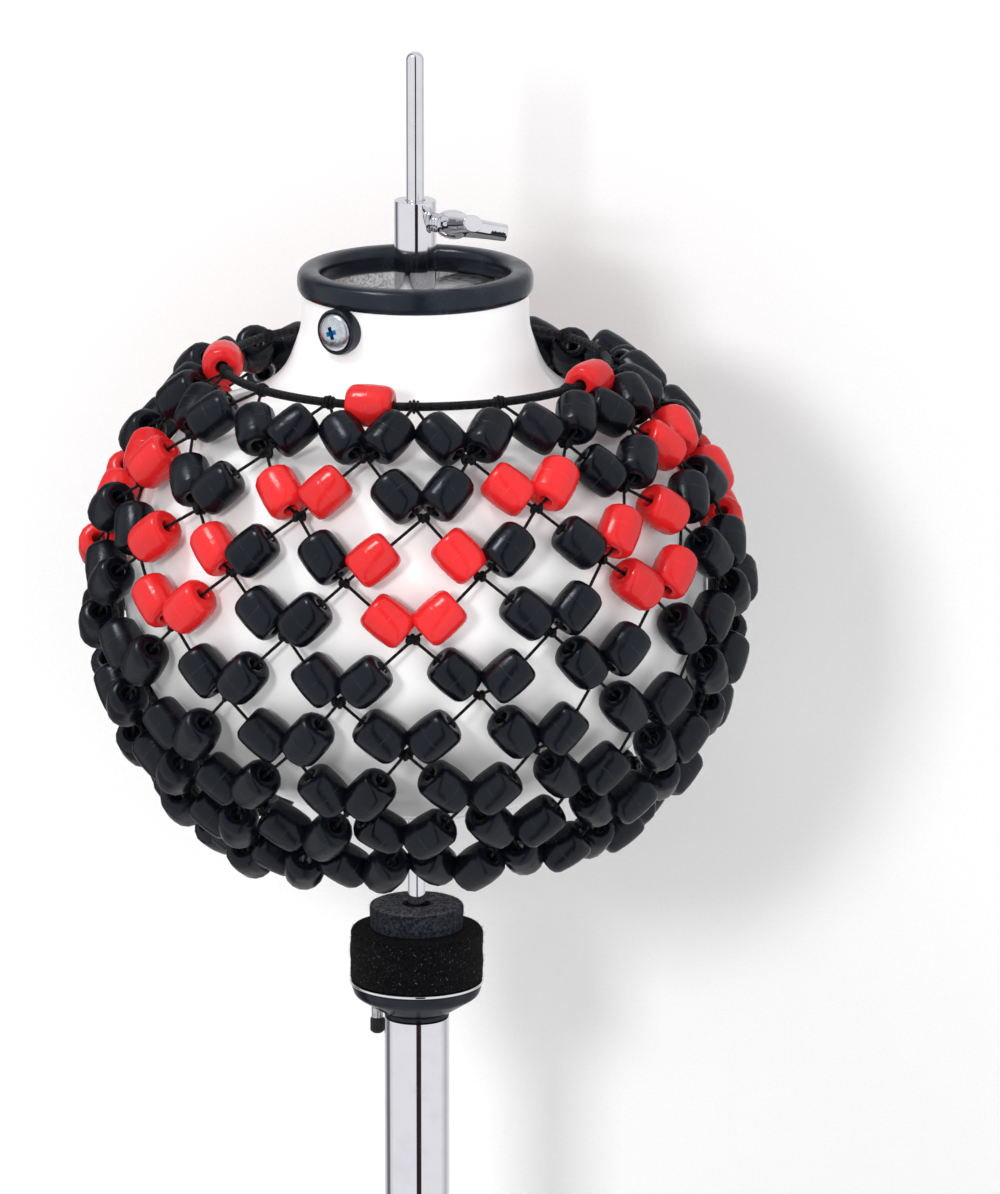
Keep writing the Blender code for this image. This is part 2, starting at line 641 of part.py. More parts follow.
def bead_fit(peak_rise, rise):
    """How large a bead can be in a row before it meets its neighbours."""
    at = STEP * 0.5 * BEAD_PLACE
    height = peak_rise + (rise - peak_rise) * BEAD_PLACE
    centre = net_point(at, height)
    axis = (net_point(at + 0.01 * STEP, height + 0.02 * (rise - peak_rise)) - centre).normalized()
    size = 1.0
    for plane in (0.0, STEP * 0.5):
        across = Vector((math.cos(plane), math.sin(plane), 0.0))
        room = abs(centre.dot(across)) - 0.5 * GAP
        lean = abs(axis.dot(across))
        flat = math.sqrt(1.0 - lean * lean) * BEAD_CORNER
        size = min(size, room / (0.5 * BEAD_LEN * lean + BEAD_END_R * flat), room / (BEAD_R * flat))
    return size


def is_red(row, peak, valley):
    """The zigzag: red pairs on every second knot of rows two, three and four."""
    if row == 2:
        return round(valley) % 2 == 1
    if row == 3:
        return round(peak) % 2 == 0
    if row == 4:
        return round(valley) % 2 == 0
    return False


def bridge(first, second):
    """Faces between two rings of corners, which may differ in number."""
    if len(first) == len(second):
        count = len(first)
        return [(first[i], first[(i + 1) % count], second[(i + 1) % count], second[i]) for i in range(count)]
    faces = []
    i = 0
    j = 0
    while i < len(first) or j < len(second):
        a = first[i % len(first)]
        b = second[j % len(second)]
        if (i + 1) * len(second) <= (j + 1) * len(first) and i < len(first):
            faces.append((a, first[(i + 1) % len(first)], b))
            i += 1
        else:
            faces.append((a, second[(j + 1) % len(second)], b))
            j += 1
    return faces


def loft(name, stations):
    """A closed ring through stations of centre, direction, radius and number of corners."""
    corners = []
    rings = []
    for centre, along, radius, sides in stations:
        out = Vector((centre.x, centre.y, 0.0))
        out = (out - along * out.dot(along)).normalized()
        side = along.cross(out)
        rings.append(range(len(corners), len(corners) + sides))
        for i in range(sides):
            turn_at = TAU * i / sides
            corners.append(centre + (out * math.cos(turn_at) + side * math.sin(turn_at)) * radius)
    faces = []
    for i, first in enumerate(rings):
        faces += bridge(first, rings[(i + 1) % len(rings)])
    mesh = bpy.data.meshes.new(name)
    mesh.from_pydata(corners, [], faces)
    return bpy.data.objects.new(name, outward(mesh))


def bead_row(row):
    """One closed zigzag of cord with its beads and its lower knots."""
    hang = (KNOT_R * FLAT_SIDE if row > 1 else NECK_CORD_R) + GAP + CORD_R * FLAT_SIDE
    above = levels[row - 1]
    pace = (net_point(0.0, above) - net_point(0.0, above - 0.01)).length / 0.01
    peak_rise = above - hang / pace
    rise = levels[row]
    size = bead_fit(peak_rise, rise)
    shift = 0.5 * ((row - 1) % 2)
    stations = []
    reds = []
    for strand in range(2 * KNOTS):
        down = strand % 2 == 0
        valley = strand // 2 + shift + 0.5
        peak = valley - 0.5 if down else valley + 0.5
        at = (peak + (valley - peak) * BEAD_PLACE) * STEP
        height = peak_rise + (rise - peak_rise) * BEAD_PLACE
        centre = net_point(at, height)
        ahead = net_point(at + 0.02 * (valley - peak) * STEP, height + 0.02 * (rise - peak_rise))
        along = (ahead - centre).normalized()
        centre -= (centre - Vector((0.0, 0.0, SHELL_Z))).normalized() * (BEAD_R * (1.0 - size))
        if not down:
            along = -along
        reach = along * (0.5 * BEAD_LEN * size)
        end_r = BEAD_END_R * size * BEAD_CORNER
        bead = [(centre - reach, along, CORD_R, 3), (centre - reach, along, end_r, 5),
                (centre, along, BEAD_R * size * BEAD_CORNER, 5), (centre + reach, along, end_r, 5),
                (centre + reach, along, CORD_R, 3)]
        turn_at = (peak if down else valley) * STEP
        level = Vector((math.cos(turn_at), math.sin(turn_at), 0.0))
        if down:
            stations.append((net_point(turn_at, peak_rise), level, CORD_R, 3))
        else:
            stations.append((net_point(turn_at, rise), level, KNOT_R, 3))
        stations += bead
        if is_red(row, peak, valley):
            reds.append(centre)
    made = keep(loft("bead_row_" + str(row), stations), BEAD_BLACK)
    made.data.materials.append(BEAD_RED)
    reach = BEAD_LEN * size * 0.52
    for face in made.data.polygons:
        if any((face.center - centre).length < reach for centre in reds):
            face.material_index = 1
    return made


for row in range(1, ROWS + 1):
    bead_row(row)

# Neck cord and the loose red beads on it
NECK_SIDES = 2 * KNOTS
loop = [net_point(STEP * i / 2, NET_START) for i in range(NECK_SIDES)]
keep(tube("neck_cord", loop, [NECK_CORD_R] * NECK_SIDES, 4, True), CORD_BLACK)
for i, bead_place in enumerate(NECK_BEAD_PLACES):
    at = bead_place * STEP
    bead = ring("neck_bead_" + str(i + 1), [(BEAD_END_R, 0.5 * BEAD_LEN), (BEAD_R, 0.0),
                                             (BEAD_END_R, -0.5 * BEAD_LEN), (BEAD_BORE_R, -0.5 * BEAD_LEN),
                                             (BEAD_BORE_R, 0.5 * BEAD_LEN)], BEAD_RED, 8)
    out = Vector((math.sin(at), -math.cos(at), 0.0))
    along = upward.cross(out)
    bead.matrix_world = Matrix((out, upward.cross(out).cross(out), along)).transposed().to_4x4()
    bead.location = net_point(at, NET_START) - out * GAP


# Empties on the joints' axes, which carry the pieces that move with them
def carry(name, place, pieces):
    """Hang pieces on an empty that lies on their joint's axis."""
    axis = bpy.data.objects.new(name, None)
    axis.location = place
    axis.empty_display_size = TUBE_R
    parts.objects.link(axis)
    bpy.context.view_layer.update()
    for piece in pieces:
        held = bpy.data.objects[piece]
        held.parent = axis
        held.matrix_parent_inverse = axis.matrix_world.inverted()


hinge_share = -TILT_HINGE_AT / TILT_SCREW_AT
seat_hinge = (tilt_x * hinge_share, tilt_y * hinge_share, PLATE_LOW)
carry("seat_tilt_axis", seat_hinge, ["tilt_plate", "seat_felt", "top_felt"])
fastened = ["neck_" + piece + "_" + end for piece in ("screw", "washer", "nut") for end in ("front", "rear")]
fastened += ["cross_bar", "gourd_shell", "neck_rim", "clutch_collar"]
carry("clutch_slide_axis", (0.0, 0.0, COLLAR_Z), fastened)
strung = ["bead_row_" + str(row) for row in range(1, ROWS + 1)]
strung += ["neck_bead_" + str(i + 1) for i in range(len(NECK_BEAD_PLACES))]
carry("net_twist_axis", (0.0, 0.0, SHELL_Z), strung + ["neck_cord"])
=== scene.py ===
"""Looks of the bead-netted shaker on its pull rod, laid out as an add-on and run as a script."""
import math
import random

import bmesh
import bpy
from bpy.props import FloatProperty, FloatVectorProperty, IntProperty, PointerProperty
from mathutils import Matrix, Vector


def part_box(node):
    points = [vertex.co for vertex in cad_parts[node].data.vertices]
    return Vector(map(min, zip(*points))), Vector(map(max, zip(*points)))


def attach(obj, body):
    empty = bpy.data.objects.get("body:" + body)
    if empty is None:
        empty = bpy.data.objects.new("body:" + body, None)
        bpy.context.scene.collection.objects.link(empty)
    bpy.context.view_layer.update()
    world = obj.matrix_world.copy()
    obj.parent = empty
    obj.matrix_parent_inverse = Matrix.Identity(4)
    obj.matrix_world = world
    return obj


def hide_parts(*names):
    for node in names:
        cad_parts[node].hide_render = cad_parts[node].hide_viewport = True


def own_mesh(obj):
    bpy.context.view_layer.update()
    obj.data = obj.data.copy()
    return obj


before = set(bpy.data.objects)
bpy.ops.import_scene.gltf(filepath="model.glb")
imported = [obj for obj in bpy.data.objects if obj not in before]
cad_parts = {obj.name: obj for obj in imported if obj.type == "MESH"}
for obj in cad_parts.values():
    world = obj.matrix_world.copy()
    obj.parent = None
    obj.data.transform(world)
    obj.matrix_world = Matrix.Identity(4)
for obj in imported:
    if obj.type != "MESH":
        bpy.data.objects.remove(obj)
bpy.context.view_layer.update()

bl_info = {
    "name": "Bead net shaker",
    "version": (1, 0, 0),
    "blender": (4, 5, 0),
    "location": "View3D > Sidebar > Shaker",
    "description": "Dresses the shaker, its clutch and the top of its stand",
    "category": "Object",
}

TAU = 2.0 * math.pi
UP = Vector((0.0, 0.0, 1.0))
GAP = 0.0003
ON_AXIS = 1e-7
TURNED_SHARP = math.radians(32.0)
SHOULDER = math.radians(40.0)
WING_UP = 0.0230
SCREW_WAY = 0.0033
LAMP_AIM = Vector((0.0, 0.0, 0.28))
NET_SEED = 7
BEAD_SEED = 11
FELT_SEED = 40
NET_ROWS = ["bead_row_" + str(row) for row in range(1, 10)]
NECK_BEADS = ["neck_bead_" + str(i) for i in range(1, 6)]
BLACK, RED, KNOT, HITCH = 1, 2, 3, 4


# Sizes and colours a user would change
def length(label, words, value):
    """A length in metres for the sidebar."""
    return FloatProperty(name=label, description=words, default=value, unit="LENGTH", precision=5)


def number(label, words, value):
    """A plain number for the sidebar."""
    return FloatProperty(name=label, description=words, default=value)


def turned_by(label, words, degrees):
    """An angle for the sidebar."""
    return FloatProperty(name=label, description=words, default=math.radians(degrees), subtype="ANGLE")


def tint(label, words, value):
    """A linear colour for the sidebar."""
    return FloatVectorProperty(name=label, description=words, default=value, subtype="COLOR", size=3,
                               min=0.0, max=1.0)


class ShellSizes(bpy.types.PropertyGroup):
    """The white shell and its rubber rim."""
    radius: length("Radius", "Widest radius of the shell", 0.0990)
    upper: length("Upper half", "Height of the round body over its widest line", 0.0905)
    lower: length("Lower half", "Depth of the round body under its widest line", 0.0790)
    middle: length("Middle height", "Height of the widest line over the tube's end", 0.282)
    wall: length("Wall", "Thickness of the shell", 0.0030)
    neck: length("Neck radius", "Radius of the neck under its rim", 0.0384)
    neck_top: length("Neck height", "Height of the neck's edge", 0.3882)
    foot: length("Foot radius", "Radius of the ring under the shell", 0.0462)
    rod_hole: length("Rod hole", "Radius of the hole in the shell's floor", 0.0140)
    rim: length("Rim half width", "Half the width of the rubber rim's section", 0.00415)
    rim_tall: length("Rim half height", "Half the height of the rubber rim's section", 0.0046)
    colour: tint("Gelcoat", "Colour of the shell", (0.93, 0.93, 0.94))
    rubber: tint("Rubber", "Colour of the rim and washers", (0.007, 0.009, 0.015))


class NetSizes(bpy.types.PropertyGroup):
    """The bead net."""
    knots: IntProperty(name="Knots", description="Knots in a ring of the net", default=14, min=6)
    rows: IntProperty(name="Rows", description="Rows of beads", default=9, min=1)
    strand: length("Strand", "Cord from one knot to the next in the first and last rows", 0.0272)
    give: number("Give", "Share by which the strands at the belly hang longer", 0.145)
    gather: number("Gather", "Share by which the net is drawn together in front", 0.06)
    twist: turned_by("Twist", "How far the net's top is turned against its widest line", 2.2)
    start: turned_by("Start", "Angle of the neck cord over the widest line", 52.4)
    clear: length("Clearance", "Space between beads and shell", 0.00022)
    sag: length("Sag", "How much deeper the net hangs than the shell", 0.0240)
    bead: length("Bead radius", "Widest radius of a bead", 0.0073)
    bead_end: length("Bead end", "Radius of a bead's end face", 0.0043)
    bead_long: length("Bead length", "Length of a bead", 0.0160)
    bore: length("Bore", "Radius of the hole through a bead", 0.0023)
    place: number("Bead place", "Share of the strand above a bead", 0.635)
    lean: turned_by("Lean", "How much lower the net hangs on its left side", 3.1)
    loose: turned_by("Looseness", "How far a knot strays from its place", 0.7)
    cord: length("Cord", "Radius of the net's cord", 0.00055)
    knot: length("Knot", "Radius of a knot", 0.0026)
    neck_cord: length("Neck cord", "Radius of the cord round the neck", 0.0015)
    black: tint("Black bead", "Colour of the black beads", (0.0020, 0.0027, 0.0052))
    red: tint("Red bead", "Colour of the red beads", (0.62, 0.014, 0.016))


class StandSizes(bpy.types.PropertyGroup):
    """The stand's tube, cup, felts and rod, and the clutch on the rod."""
    tube: length("Tube radius", "Outer radius of the tube", 0.0111)
    tube_wall: length("Tube wall", "Thickness of the tube", 0.0011)
    tube_long: length("Tube length", "Height of the tube's upper end", 0.130)
    rod: length("Rod radius", "Radius of the pull rod", 0.0030)
    rod_top: length("Rod tip", "Height of the rod's tip", 0.4666)
    cup: length("Cup radius", "Radius of the seat cup", 0.0225)
    collar: length("Collar radius", "Radius of the clutch collar", 0.0071)
    wing_turn: turned_by("Wing turn", "How far the wing screw is turned", -18.0)
    wing_side: turned_by("Wing side", "Side of the collar the wing screw is on", 63.0)
    screw_side: turned_by("Screw side", "Side of the neck the front screw is on", -39.0)
    felt: tint("Seat felt", "Colour of the seat felt", (0.0026, 0.0027, 0.0034))
    # Painted light: the top felt's upper face is given a lighter colour than its side, as if lit from above.
    felt_top: tint("Top felt", "Colour of the top felt's side", (0.018, 0.020, 0.030))
    felt_face: tint("Top felt's face", "Colour of the top felt's upper face", (0.066, 0.067, 0.076))


class StageSizes(bpy.types.PropertyGroup):
    """Camera, lamps and backdrop."""
    tilt: turned_by("Camera height", "Angle of the camera over the horizon", 14.3)
    away: length("Camera distance", "Distance from the camera to its aim", 3.5)
    lens: number("Lens", "Focal length in millimetres", 311.0)
    aim: FloatVectorProperty(name="Aim", description="Point the camera looks at",
                             default=(0.0285, 0.0, 0.2781), subtype="TRANSLATION", unit="LENGTH",
                             precision=4)
    key: number("Key lamp", "Power of the key lamp in watts", 19.5)
    low: number("Low lamp", "Power of the low lamp in front on the right in watts", 16.0)
    fill: number("Top lamp", "Power of the top lamp in watts", 9.0)
    room: number("Room light", "Strength of the light from all round", 0.77)


# Node helpers
def feed(tree, socket, value):
    """Link a socket to another, or set its value."""
    if isinstance(value, bpy.types.NodeSocket):
        tree.links.new(value, socket)
    else:
        socket.default_value = value


def put(tree, kind, settings=None, **sockets):
    """Add a node, set it up and feed its sockets with values or other sockets."""
    node = tree.nodes.new(kind)
    for name, value in (settings or {}).items():
        setattr(node, name, value)
    for name, value in sockets.items():
        feed(tree, node.inputs[name.replace("_", " ")], value)
    return node


def maths(tree, operation, first, second=0.0, third=0.0):
    """A Math node's result."""
    node = tree.nodes.new("ShaderNodeMath")
    node.operation = operation
    for socket, value in zip(node.inputs, (first, second, third)):
        feed(tree, socket, value)
    return node.outputs[0]


def times(tree, first, second):
    """A product of two values."""
    return maths(tree, "MULTIPLY", first, second)


def ramp(tree, value, low, high, out_low=0.0, out_high=1.0):
    """A value mapped smoothly from one range to another."""
    node = put(tree, "ShaderNodeMapRange", {"interpolation_type": "SMOOTHSTEP"}, Value=value, From_Min=low,
               From_Max=high, To_Min=out_low, To_Max=out_high)
    return node.outputs[0]


def blend_colour(tree, share, first, second):
    """A mix of two colours."""
    node = tree.nodes.new("ShaderNodeMix")
    node.data_type = "RGBA"
    feed(tree, node.inputs[0], share)
    feed(tree, node.inputs[6], first)
    feed(tree, node.inputs[7], second)
    return node.outputs[2]


def noise(tree, place, scale, detail=3.0, rough=0.55):
    """A noise value over a place."""
    node = put(tree, "ShaderNodeTexNoise", None, Vector=place, Scale=scale, Detail=detail, Roughness=rough)
    return node.outputs["Fac"]


def place_in(tree):
    """The place on the object, for a texture to read."""
    return put(tree, "ShaderNodeTexCoord").outputs["Object"]


def part_of(tree, vector, axis):
    """One part of a vector."""
    return put(tree, "ShaderNodeSeparateXYZ", None, Vector=vector).outputs[axis]


def carried(tree, label):
    """A value that the mesh carries."""
    return put(tree, "ShaderNodeAttribute", {"attribute_name": label}).outputs["Fac"]


def shader_group(name, inputs, outputs):
    """A new shader group with its in and out nodes."""
    group = bpy.data.node_groups.new(name, "ShaderNodeTree")
    for label, value in inputs.items():
        socket = group.interface.new_socket(label, in_out="INPUT", socket_type="NodeSocketFloat")
        socket.default_value = value
    for label in outputs:
        group.interface.new_socket(label, in_out="OUTPUT", socket_type="NodeSocketFloat")
    return group, group.nodes.new("NodeGroupInput"), group.nodes.new("NodeGroupOutput")


# Shared surface effects
def marks_group():
    """Handling marks: soft smudges, a few fine scratches and specks of dust."""
    group, given, made = shader_group("handling_marks", {"Size": 60.0}, ["Smudge", "Scratch", "Dust"])
    place = place_in(group)
    drawn = put(group, "ShaderNodeMapping", None, Vector=place, Scale=(900.0, 900.0, 60.0),
                Rotation=(0.5, 0.3, 0.2))
    marks = {"Smudge": ramp(group, noise(group, place, given.outputs["Size"], 4.0), 0.42, 0.72),
             "Scratch": ramp(group, noise(group, drawn.outputs[0], 1.0, 2.0), 0.66, 0.74),
             "Dust": ramp(group, noise(group, place, 1400.0, 1.0), 0.74, 0.80)}
    for label, value in marks.items():
        group.links.new(value, made.inputs[label])
    return group


def waves_group():
    """Soft waves and a fine grain of a moulded or laid-up surface."""
    group, given, made = shader_group("moulded_waves", {"Wave": 90.0, "Grain": 900.0, "Grain share": 0.2},
                                      ["Height"])
    place = place_in(group)
    wave = noise(group, place, given.outputs["Wave"], 2.0, 0.4)
    grain = noise(group, place, given.outputs["Grain"], 2.0, 0.5)
    height = maths(group, "MULTIPLY_ADD", grain, given.outputs["Grain share"], wave)
    group.links.new(height, made.inputs["Height"])
    return group


def fibres_group():
    """Tangled short fibres, as in felt and glass mat."""
    group, given, made = shader_group("tangled_fibres", {"Size": 1400.0}, ["Height", "Light fibres"])
    place = place_in(group)
    heights = []
    for turned in ((0.4, 0.2, 0.9), (1.2, 0.7, 0.1), (0.1, 1.5, 2.1)):
        lay = put(group, "ShaderNodeMapping", None, Vector=place, Rotation=turned, Scale=(1.0, 0.22, 1.0))
        heights.append(noise(group, lay.outputs[0], given.outputs["Size"], 2.0, 0.6))
    total = maths(group, "MAXIMUM", maths(group, "MAXIMUM", heights[0], heights[1]), heights[2])
    group.links.new(total, made.inputs["Height"])
    group.links.new(ramp(group, total, 0.66, 0.80), made.inputs["Light fibres"])
    return group


def strands_group():
    """Strands laid round a cord, read from the cord's own length and round."""
    group, given, made = shader_group("laid_strands", {"Pitch": 0.0028, "Strands": 3.0, "Braid": 0.0},
                                      ["Height"])
    turns = maths(group, "DIVIDE", carried(group, "cord_along"), given.outputs["Pitch"])
    round_turns = times(group, carried(group, "cord_round"), given.outputs["Strands"])
    heights = []
    for way in ("ADD", "SUBTRACT"):
        phase = times(group, maths(group, way, turns, round_turns), TAU)
        heights.append(maths(group, "SINE", phase))
    crossed = maths(group, "MAXIMUM", heights[0], heights[1])
    share = put(group, "ShaderNodeMix", {"data_type": "FLOAT"})
    feed(group, share.inputs[0], given.outputs["Braid"])
    feed(group, share.inputs[2], heights[0])
    feed(group, share.inputs[3], crossed)
    group.links.new(share.outputs[0], made.inputs["Height"])
    return group


EFFECTS = {"marks": marks_group, "waves": waves_group, "fibres": fibres_group, "strands": strands_group}
effects_made = {}


def effect(tree, name, **values):
    """Place a shared effect in a material with its own values."""
    if name not in effects_made:
        effects_made[name] = EFFECTS[name]()
    node = tree.nodes.new("ShaderNodeGroup")
    node.node_tree = effects_made[name]
    for label, value in values.items():
        node.inputs[label.replace("_", " ")].default_value = value
    return node.outputs


# Materials
def finish(name, **constants):
    """A new material with its Principled shader and the values that are the same all over it."""
    made = bpy.data.materials.new(name)
    made.use_nodes = True
    shader = made.node_tree.nodes["Principled BSDF"]
    for label, value in constants.items():
        shader.inputs[label.replace("_", " ")].default_value = value
    return made, made.node_tree, shader


def coat(tree, shader, shade, rough):
    """Give a shader its colour and its roughness."""
    tree.links.new(shade, shader.inputs["Base Color"])
    tree.links.new(rough, shader.inputs["Roughness"])


def raised(tree, shader, height, distance, strength=1.0):
    """Bump a material by a height."""
    bump = put(tree, "ShaderNodeBump", None, Height=height, Distance=distance, Strength=strength)
    tree.links.new(bump.outputs[0], shader.inputs["Normal"])


def waved(tree, shader, wave, grain, share, distance, strength=1.0):
    """Bump a material by the waves and grain of a moulded surface."""
    height = effect(tree, "waves", Wave=wave, Grain=grain, Grain_share=share)["Height"]
    raised(tree, shader, height, distance, strength)


def glancing(tree, shader, low, high, gloss, edge_gloss):
    """Change a surface's gloss from where it faces the camera to its edges. The lower gloss at the edges is
    painted shade: it darkens them as if they mirrored dark surroundings.
    """
    facing = put(tree, "ShaderNodeLayerWeight", None, Blend=0.5).outputs["Facing"]
    tree.links.new(ramp(tree, facing, low, high, gloss, edge_gloss), shader.inputs["Specular IOR Level"])


def full(colour):
    """A colour with its alpha."""
    return (*colour[:3], 1.0)


def toned(colour, part, lift=0.0):
    """A colour made darker or paler, with its alpha."""
    return full(tuple(min(1.0, c * part + lift) for c in colour))


def gelcoat(colour):
    """White gloss gelcoat: faint orange peel, smudges and a little yellowing in blotches."""
    made, tree, shader = finish("shell_gelcoat", Coat_Weight=0.10, Coat_Roughness=0.12,
                                Specular_IOR_Level=0.30)
    marks = effect(tree, "marks", Size=22.0)
    cloud = ramp(tree, noise(tree, place_in(tree), 14.0), 0.35, 0.75)
    warm = (colour[0] * 0.985, colour[1] * 0.975, colour[2] * 0.965, 1.0)
    shade = blend_colour(tree, cloud, full(colour), warm)
    shade = blend_colour(tree, times(tree, marks["Dust"], 0.25), shade, (0.45, 0.43, 0.42, 1.0))
    coat(tree, shader, shade, ramp(tree, marks["Smudge"], 0.0, 1.0, 0.14, 0.24))
    waved(tree, shader, 55.0, 700.0, 0.06, 0.0004, 0.5)
    return made


def glass_mat():
    """The raw inside of the shell: grey resin over chopped glass strands, with a faint painted glow of its
    own that brightens it.
    """
    made, tree, shader = finish("shell_glass_mat", Specular_IOR_Level=0.35, Emission_Strength=0.14)
    mat = effect(tree, "fibres", Size=700.0)
    place = place_in(tree)
    cloud = noise(tree, place, 60.0)
    shade = blend_colour(tree, mat["Light fibres"], (0.80, 0.79, 0.80, 1.0), (0.98, 0.97, 0.97, 1.0))
    shade = blend_colour(tree, ramp(tree, cloud, 0.4, 0.7, 0.0, 0.45), shade, (0.52, 0.52, 0.525, 1.0))
    speck = ramp(tree, noise(tree, place, 1100.0), 0.42, 0.66)
    shade = blend_colour(tree, times(tree, speck, 0.75), shade, (0.24, 0.24, 0.25, 1.0))
    coat(tree, shader, shade, ramp(tree, cloud, 0.3, 0.7, 0.4, 0.7))
    # Painted light: the mat glows faintly in its own colour, though it is no lamp, to brighten the shaded
    # inside.
    tree.links.new(shade, shader.inputs["Emission Color"])
    raised(tree, shader, mat["Height"], 0.0006)
    return made


def rubber(colour):
    """Smooth black rubber with a dusty bloom and a fine grain."""
    made, tree, shader = finish("black_rubber", Specular_IOR_Level=0.31,
                                Specular_Tint=(0.86, 0.93, 1.0, 1.0))
    marks = effect(tree, "marks", Size=80.0)
    pale = toned(colour, 2.2, 0.004)
    shade = blend_colour(tree, times(tree, marks["Smudge"], 0.5), full(colour), pale)
    shade = blend_colour(tree, times(tree, marks["Dust"], 0.35), shade, (0.12, 0.12, 0.13, 1.0))
    coat(tree, shader, shade, ramp(tree, marks["Smudge"], 0.0, 1.0, 0.18, 0.34))
    waved(tree, shader, 160.0, 2600.0, 0.25, 0.00025, 0.6)
    return made


def bead_plastic(name, colour, gloss, rough, sheen):
    """Moulded bead: its parting line, soft dents, flow marks and a tone of its own for each bead."""
    made, tree, shader = finish(name, Specular_Tint=full(sheen))
    # Painted shade: the bead's edges reflect less than its middle, so they look dark.
    glancing(tree, shader, 0.30, 0.85, gloss, gloss * 0.25)
    lengthwise = part_of(tree, put(tree, "ShaderNodeUVMap").outputs[0], "Y")
    own = carried(tree, "own_tone")
    off_middle = maths(tree, "ABSOLUTE", maths(tree, "SUBTRACT", lengthwise, 0.5))
    seam = ramp(tree, off_middle, 0.006, 0.022, 1.0, 0.0)
    place = place_in(tree)
    broken = ramp(tree, noise(tree, place, 260.0, 2.0), 0.35, 0.6)
    line = times(tree, seam, broken)
    flow = noise(tree, place, 210.0, 4.0)
    light = toned(colour, 1.10, 0.0012)
    shade = blend_colour(tree, ramp(tree, own, 0.0, 1.0), toned(colour, 0.90), light)
    shade = blend_colour(tree, ramp(tree, flow, 0.45, 0.75, 0.0, 0.35), shade, light)
    shade = blend_colour(tree, times(tree, line, 0.25), shade, toned(colour, 1.25, 0.03))
    dull = ramp(tree, flow, 0.3, 0.7, rough, rough * 1.6)
    coat(tree, shader, shade, maths(tree, "MULTIPLY_ADD", own, 0.05, dull))
    waves = effect(tree, "waves", Wave=150.0, Grain=900.0, Grain_share=0.10)
    raised(tree, shader, maths(tree, "MULTIPLY_ADD", line, 0.10, waves["Height"]), 0.00045, 0.8)
    return made


def cord_yarn(name, pitch, strands, braid):
    """Black waxed cord, its strands laid or braided."""
    made, tree, shader = finish(name, Specular_IOR_Level=0.20)
    lay = effect(tree, "strands", Pitch=pitch, Strands=strands, Braid=braid)
    fuzz = noise(tree, place_in(tree), 2600.0, 2.0)
    # Painted shade: the grooves between the strands are darker than their crests.
    shade = blend_colour(tree, ramp(tree, lay["Height"], -0.6, 0.9), (0.003, 0.003, 0.004, 1.0),
                         (0.009, 0.009, 0.011, 1.0))
    coat(tree, shader, shade, ramp(tree, fuzz, 0.3, 0.7, 0.45, 0.75))
    raised(tree, shader, maths(tree, "MULTIPLY_ADD", fuzz, 0.5, lay["Height"]), 0.00022)
    return made


def chrome():
    """Polished chrome plate with faint smudges and hairline scratches."""
    made, tree, shader = finish("chrome_plate", Metallic=1.0)
    marks = effect(tree, "marks", Size=120.0)
    shade = blend_colour(tree, marks["Smudge"], (0.80, 0.80, 0.825, 1.0), (0.76, 0.76, 0.785, 1.0))
    smudged = ramp(tree, marks["Smudge"], 0.0, 1.0, 0.035, 0.085)
    coat(tree, shader, shade, maths(tree, "MULTIPLY_ADD", marks["Scratch"], 0.05, smudged))
    waved(tree, shader, 40.0, 1500.0, 0.02, 0.00004, 0.5)
    return made


def plated(name, colour, low, high):
    """Zinc-plated or passivated steel with a crystalline bloom."""
    made, tree, shader = finish(name, Metallic=1.0)
    marks = effect(tree, "marks", Size=150.0)
    bloom = ramp(tree, noise(tree, place_in(tree), 500.0, 4.0), 0.35, 0.7)
    shade = blend_colour(tree, bloom, full(colour), toned(colour, 0.78))
    shade = blend_colour(tree, times(tree, marks["Smudge"], 0.3), shade, (0.30, 0.29, 0.28, 1.0))
    coat(tree, shader, shade, ramp(tree, bloom, 0.0, 1.0, low, high))
    waved(tree, shader, 300.0, 2200.0, 0.4, 0.00006)
    return made


def felt_cloth(name, colour, face, flecks):
    """Dense pressed felt: tangled fibres with pale flecks among them, and an upper face in the face colour,
    painted lighter as if lit from above.
    """
    made, tree, shader = finish(name, Specular_IOR_Level=0.04, Sheen_Weight=0.02, Sheen_Roughness=0.6)
    mat = effect(tree, "fibres", Size=1500.0)
    lies = put(tree, "ShaderNodeTexCoord").outputs
    # Painted light: faces turned upward take the lighter face colour, as if lit from above.
    upper = ramp(tree, part_of(tree, lies["Normal"], "Z"), 0.35, 0.85)
    cloud = noise(tree, lies["Object"], 850.0, 4.0, 0.7)
    fleck = ramp(tree, noise(tree, lies["Object"], 1300.0, 2.0), 0.64, 0.73)
    dark, light, pale = (blend_colour(tree, upper, toned(colour, part, lift), toned(face, part, lift))
                         for part, lift in ((0.35, 0.0), (1.9, 0.0), (3.0, 0.012)))
    shade = blend_colour(tree, ramp(tree, cloud, 0.38, 0.66), dark, light)
    shade = blend_colour(tree, times(tree, mat["Light fibres"], 0.8), shade, pale)
    shade = blend_colour(tree, times(tree, fleck, flecks), shade, (0.16, 0.16, 0.165, 1.0))
    coat(tree, shader, shade, ramp(tree, cloud, 0.3, 0.7, 0.85, 1.0))
    raised(tree, shader, maths(tree, "MULTIPLY_ADD", cloud, 1.6, mat["Height"]), 0.0005)
    return made


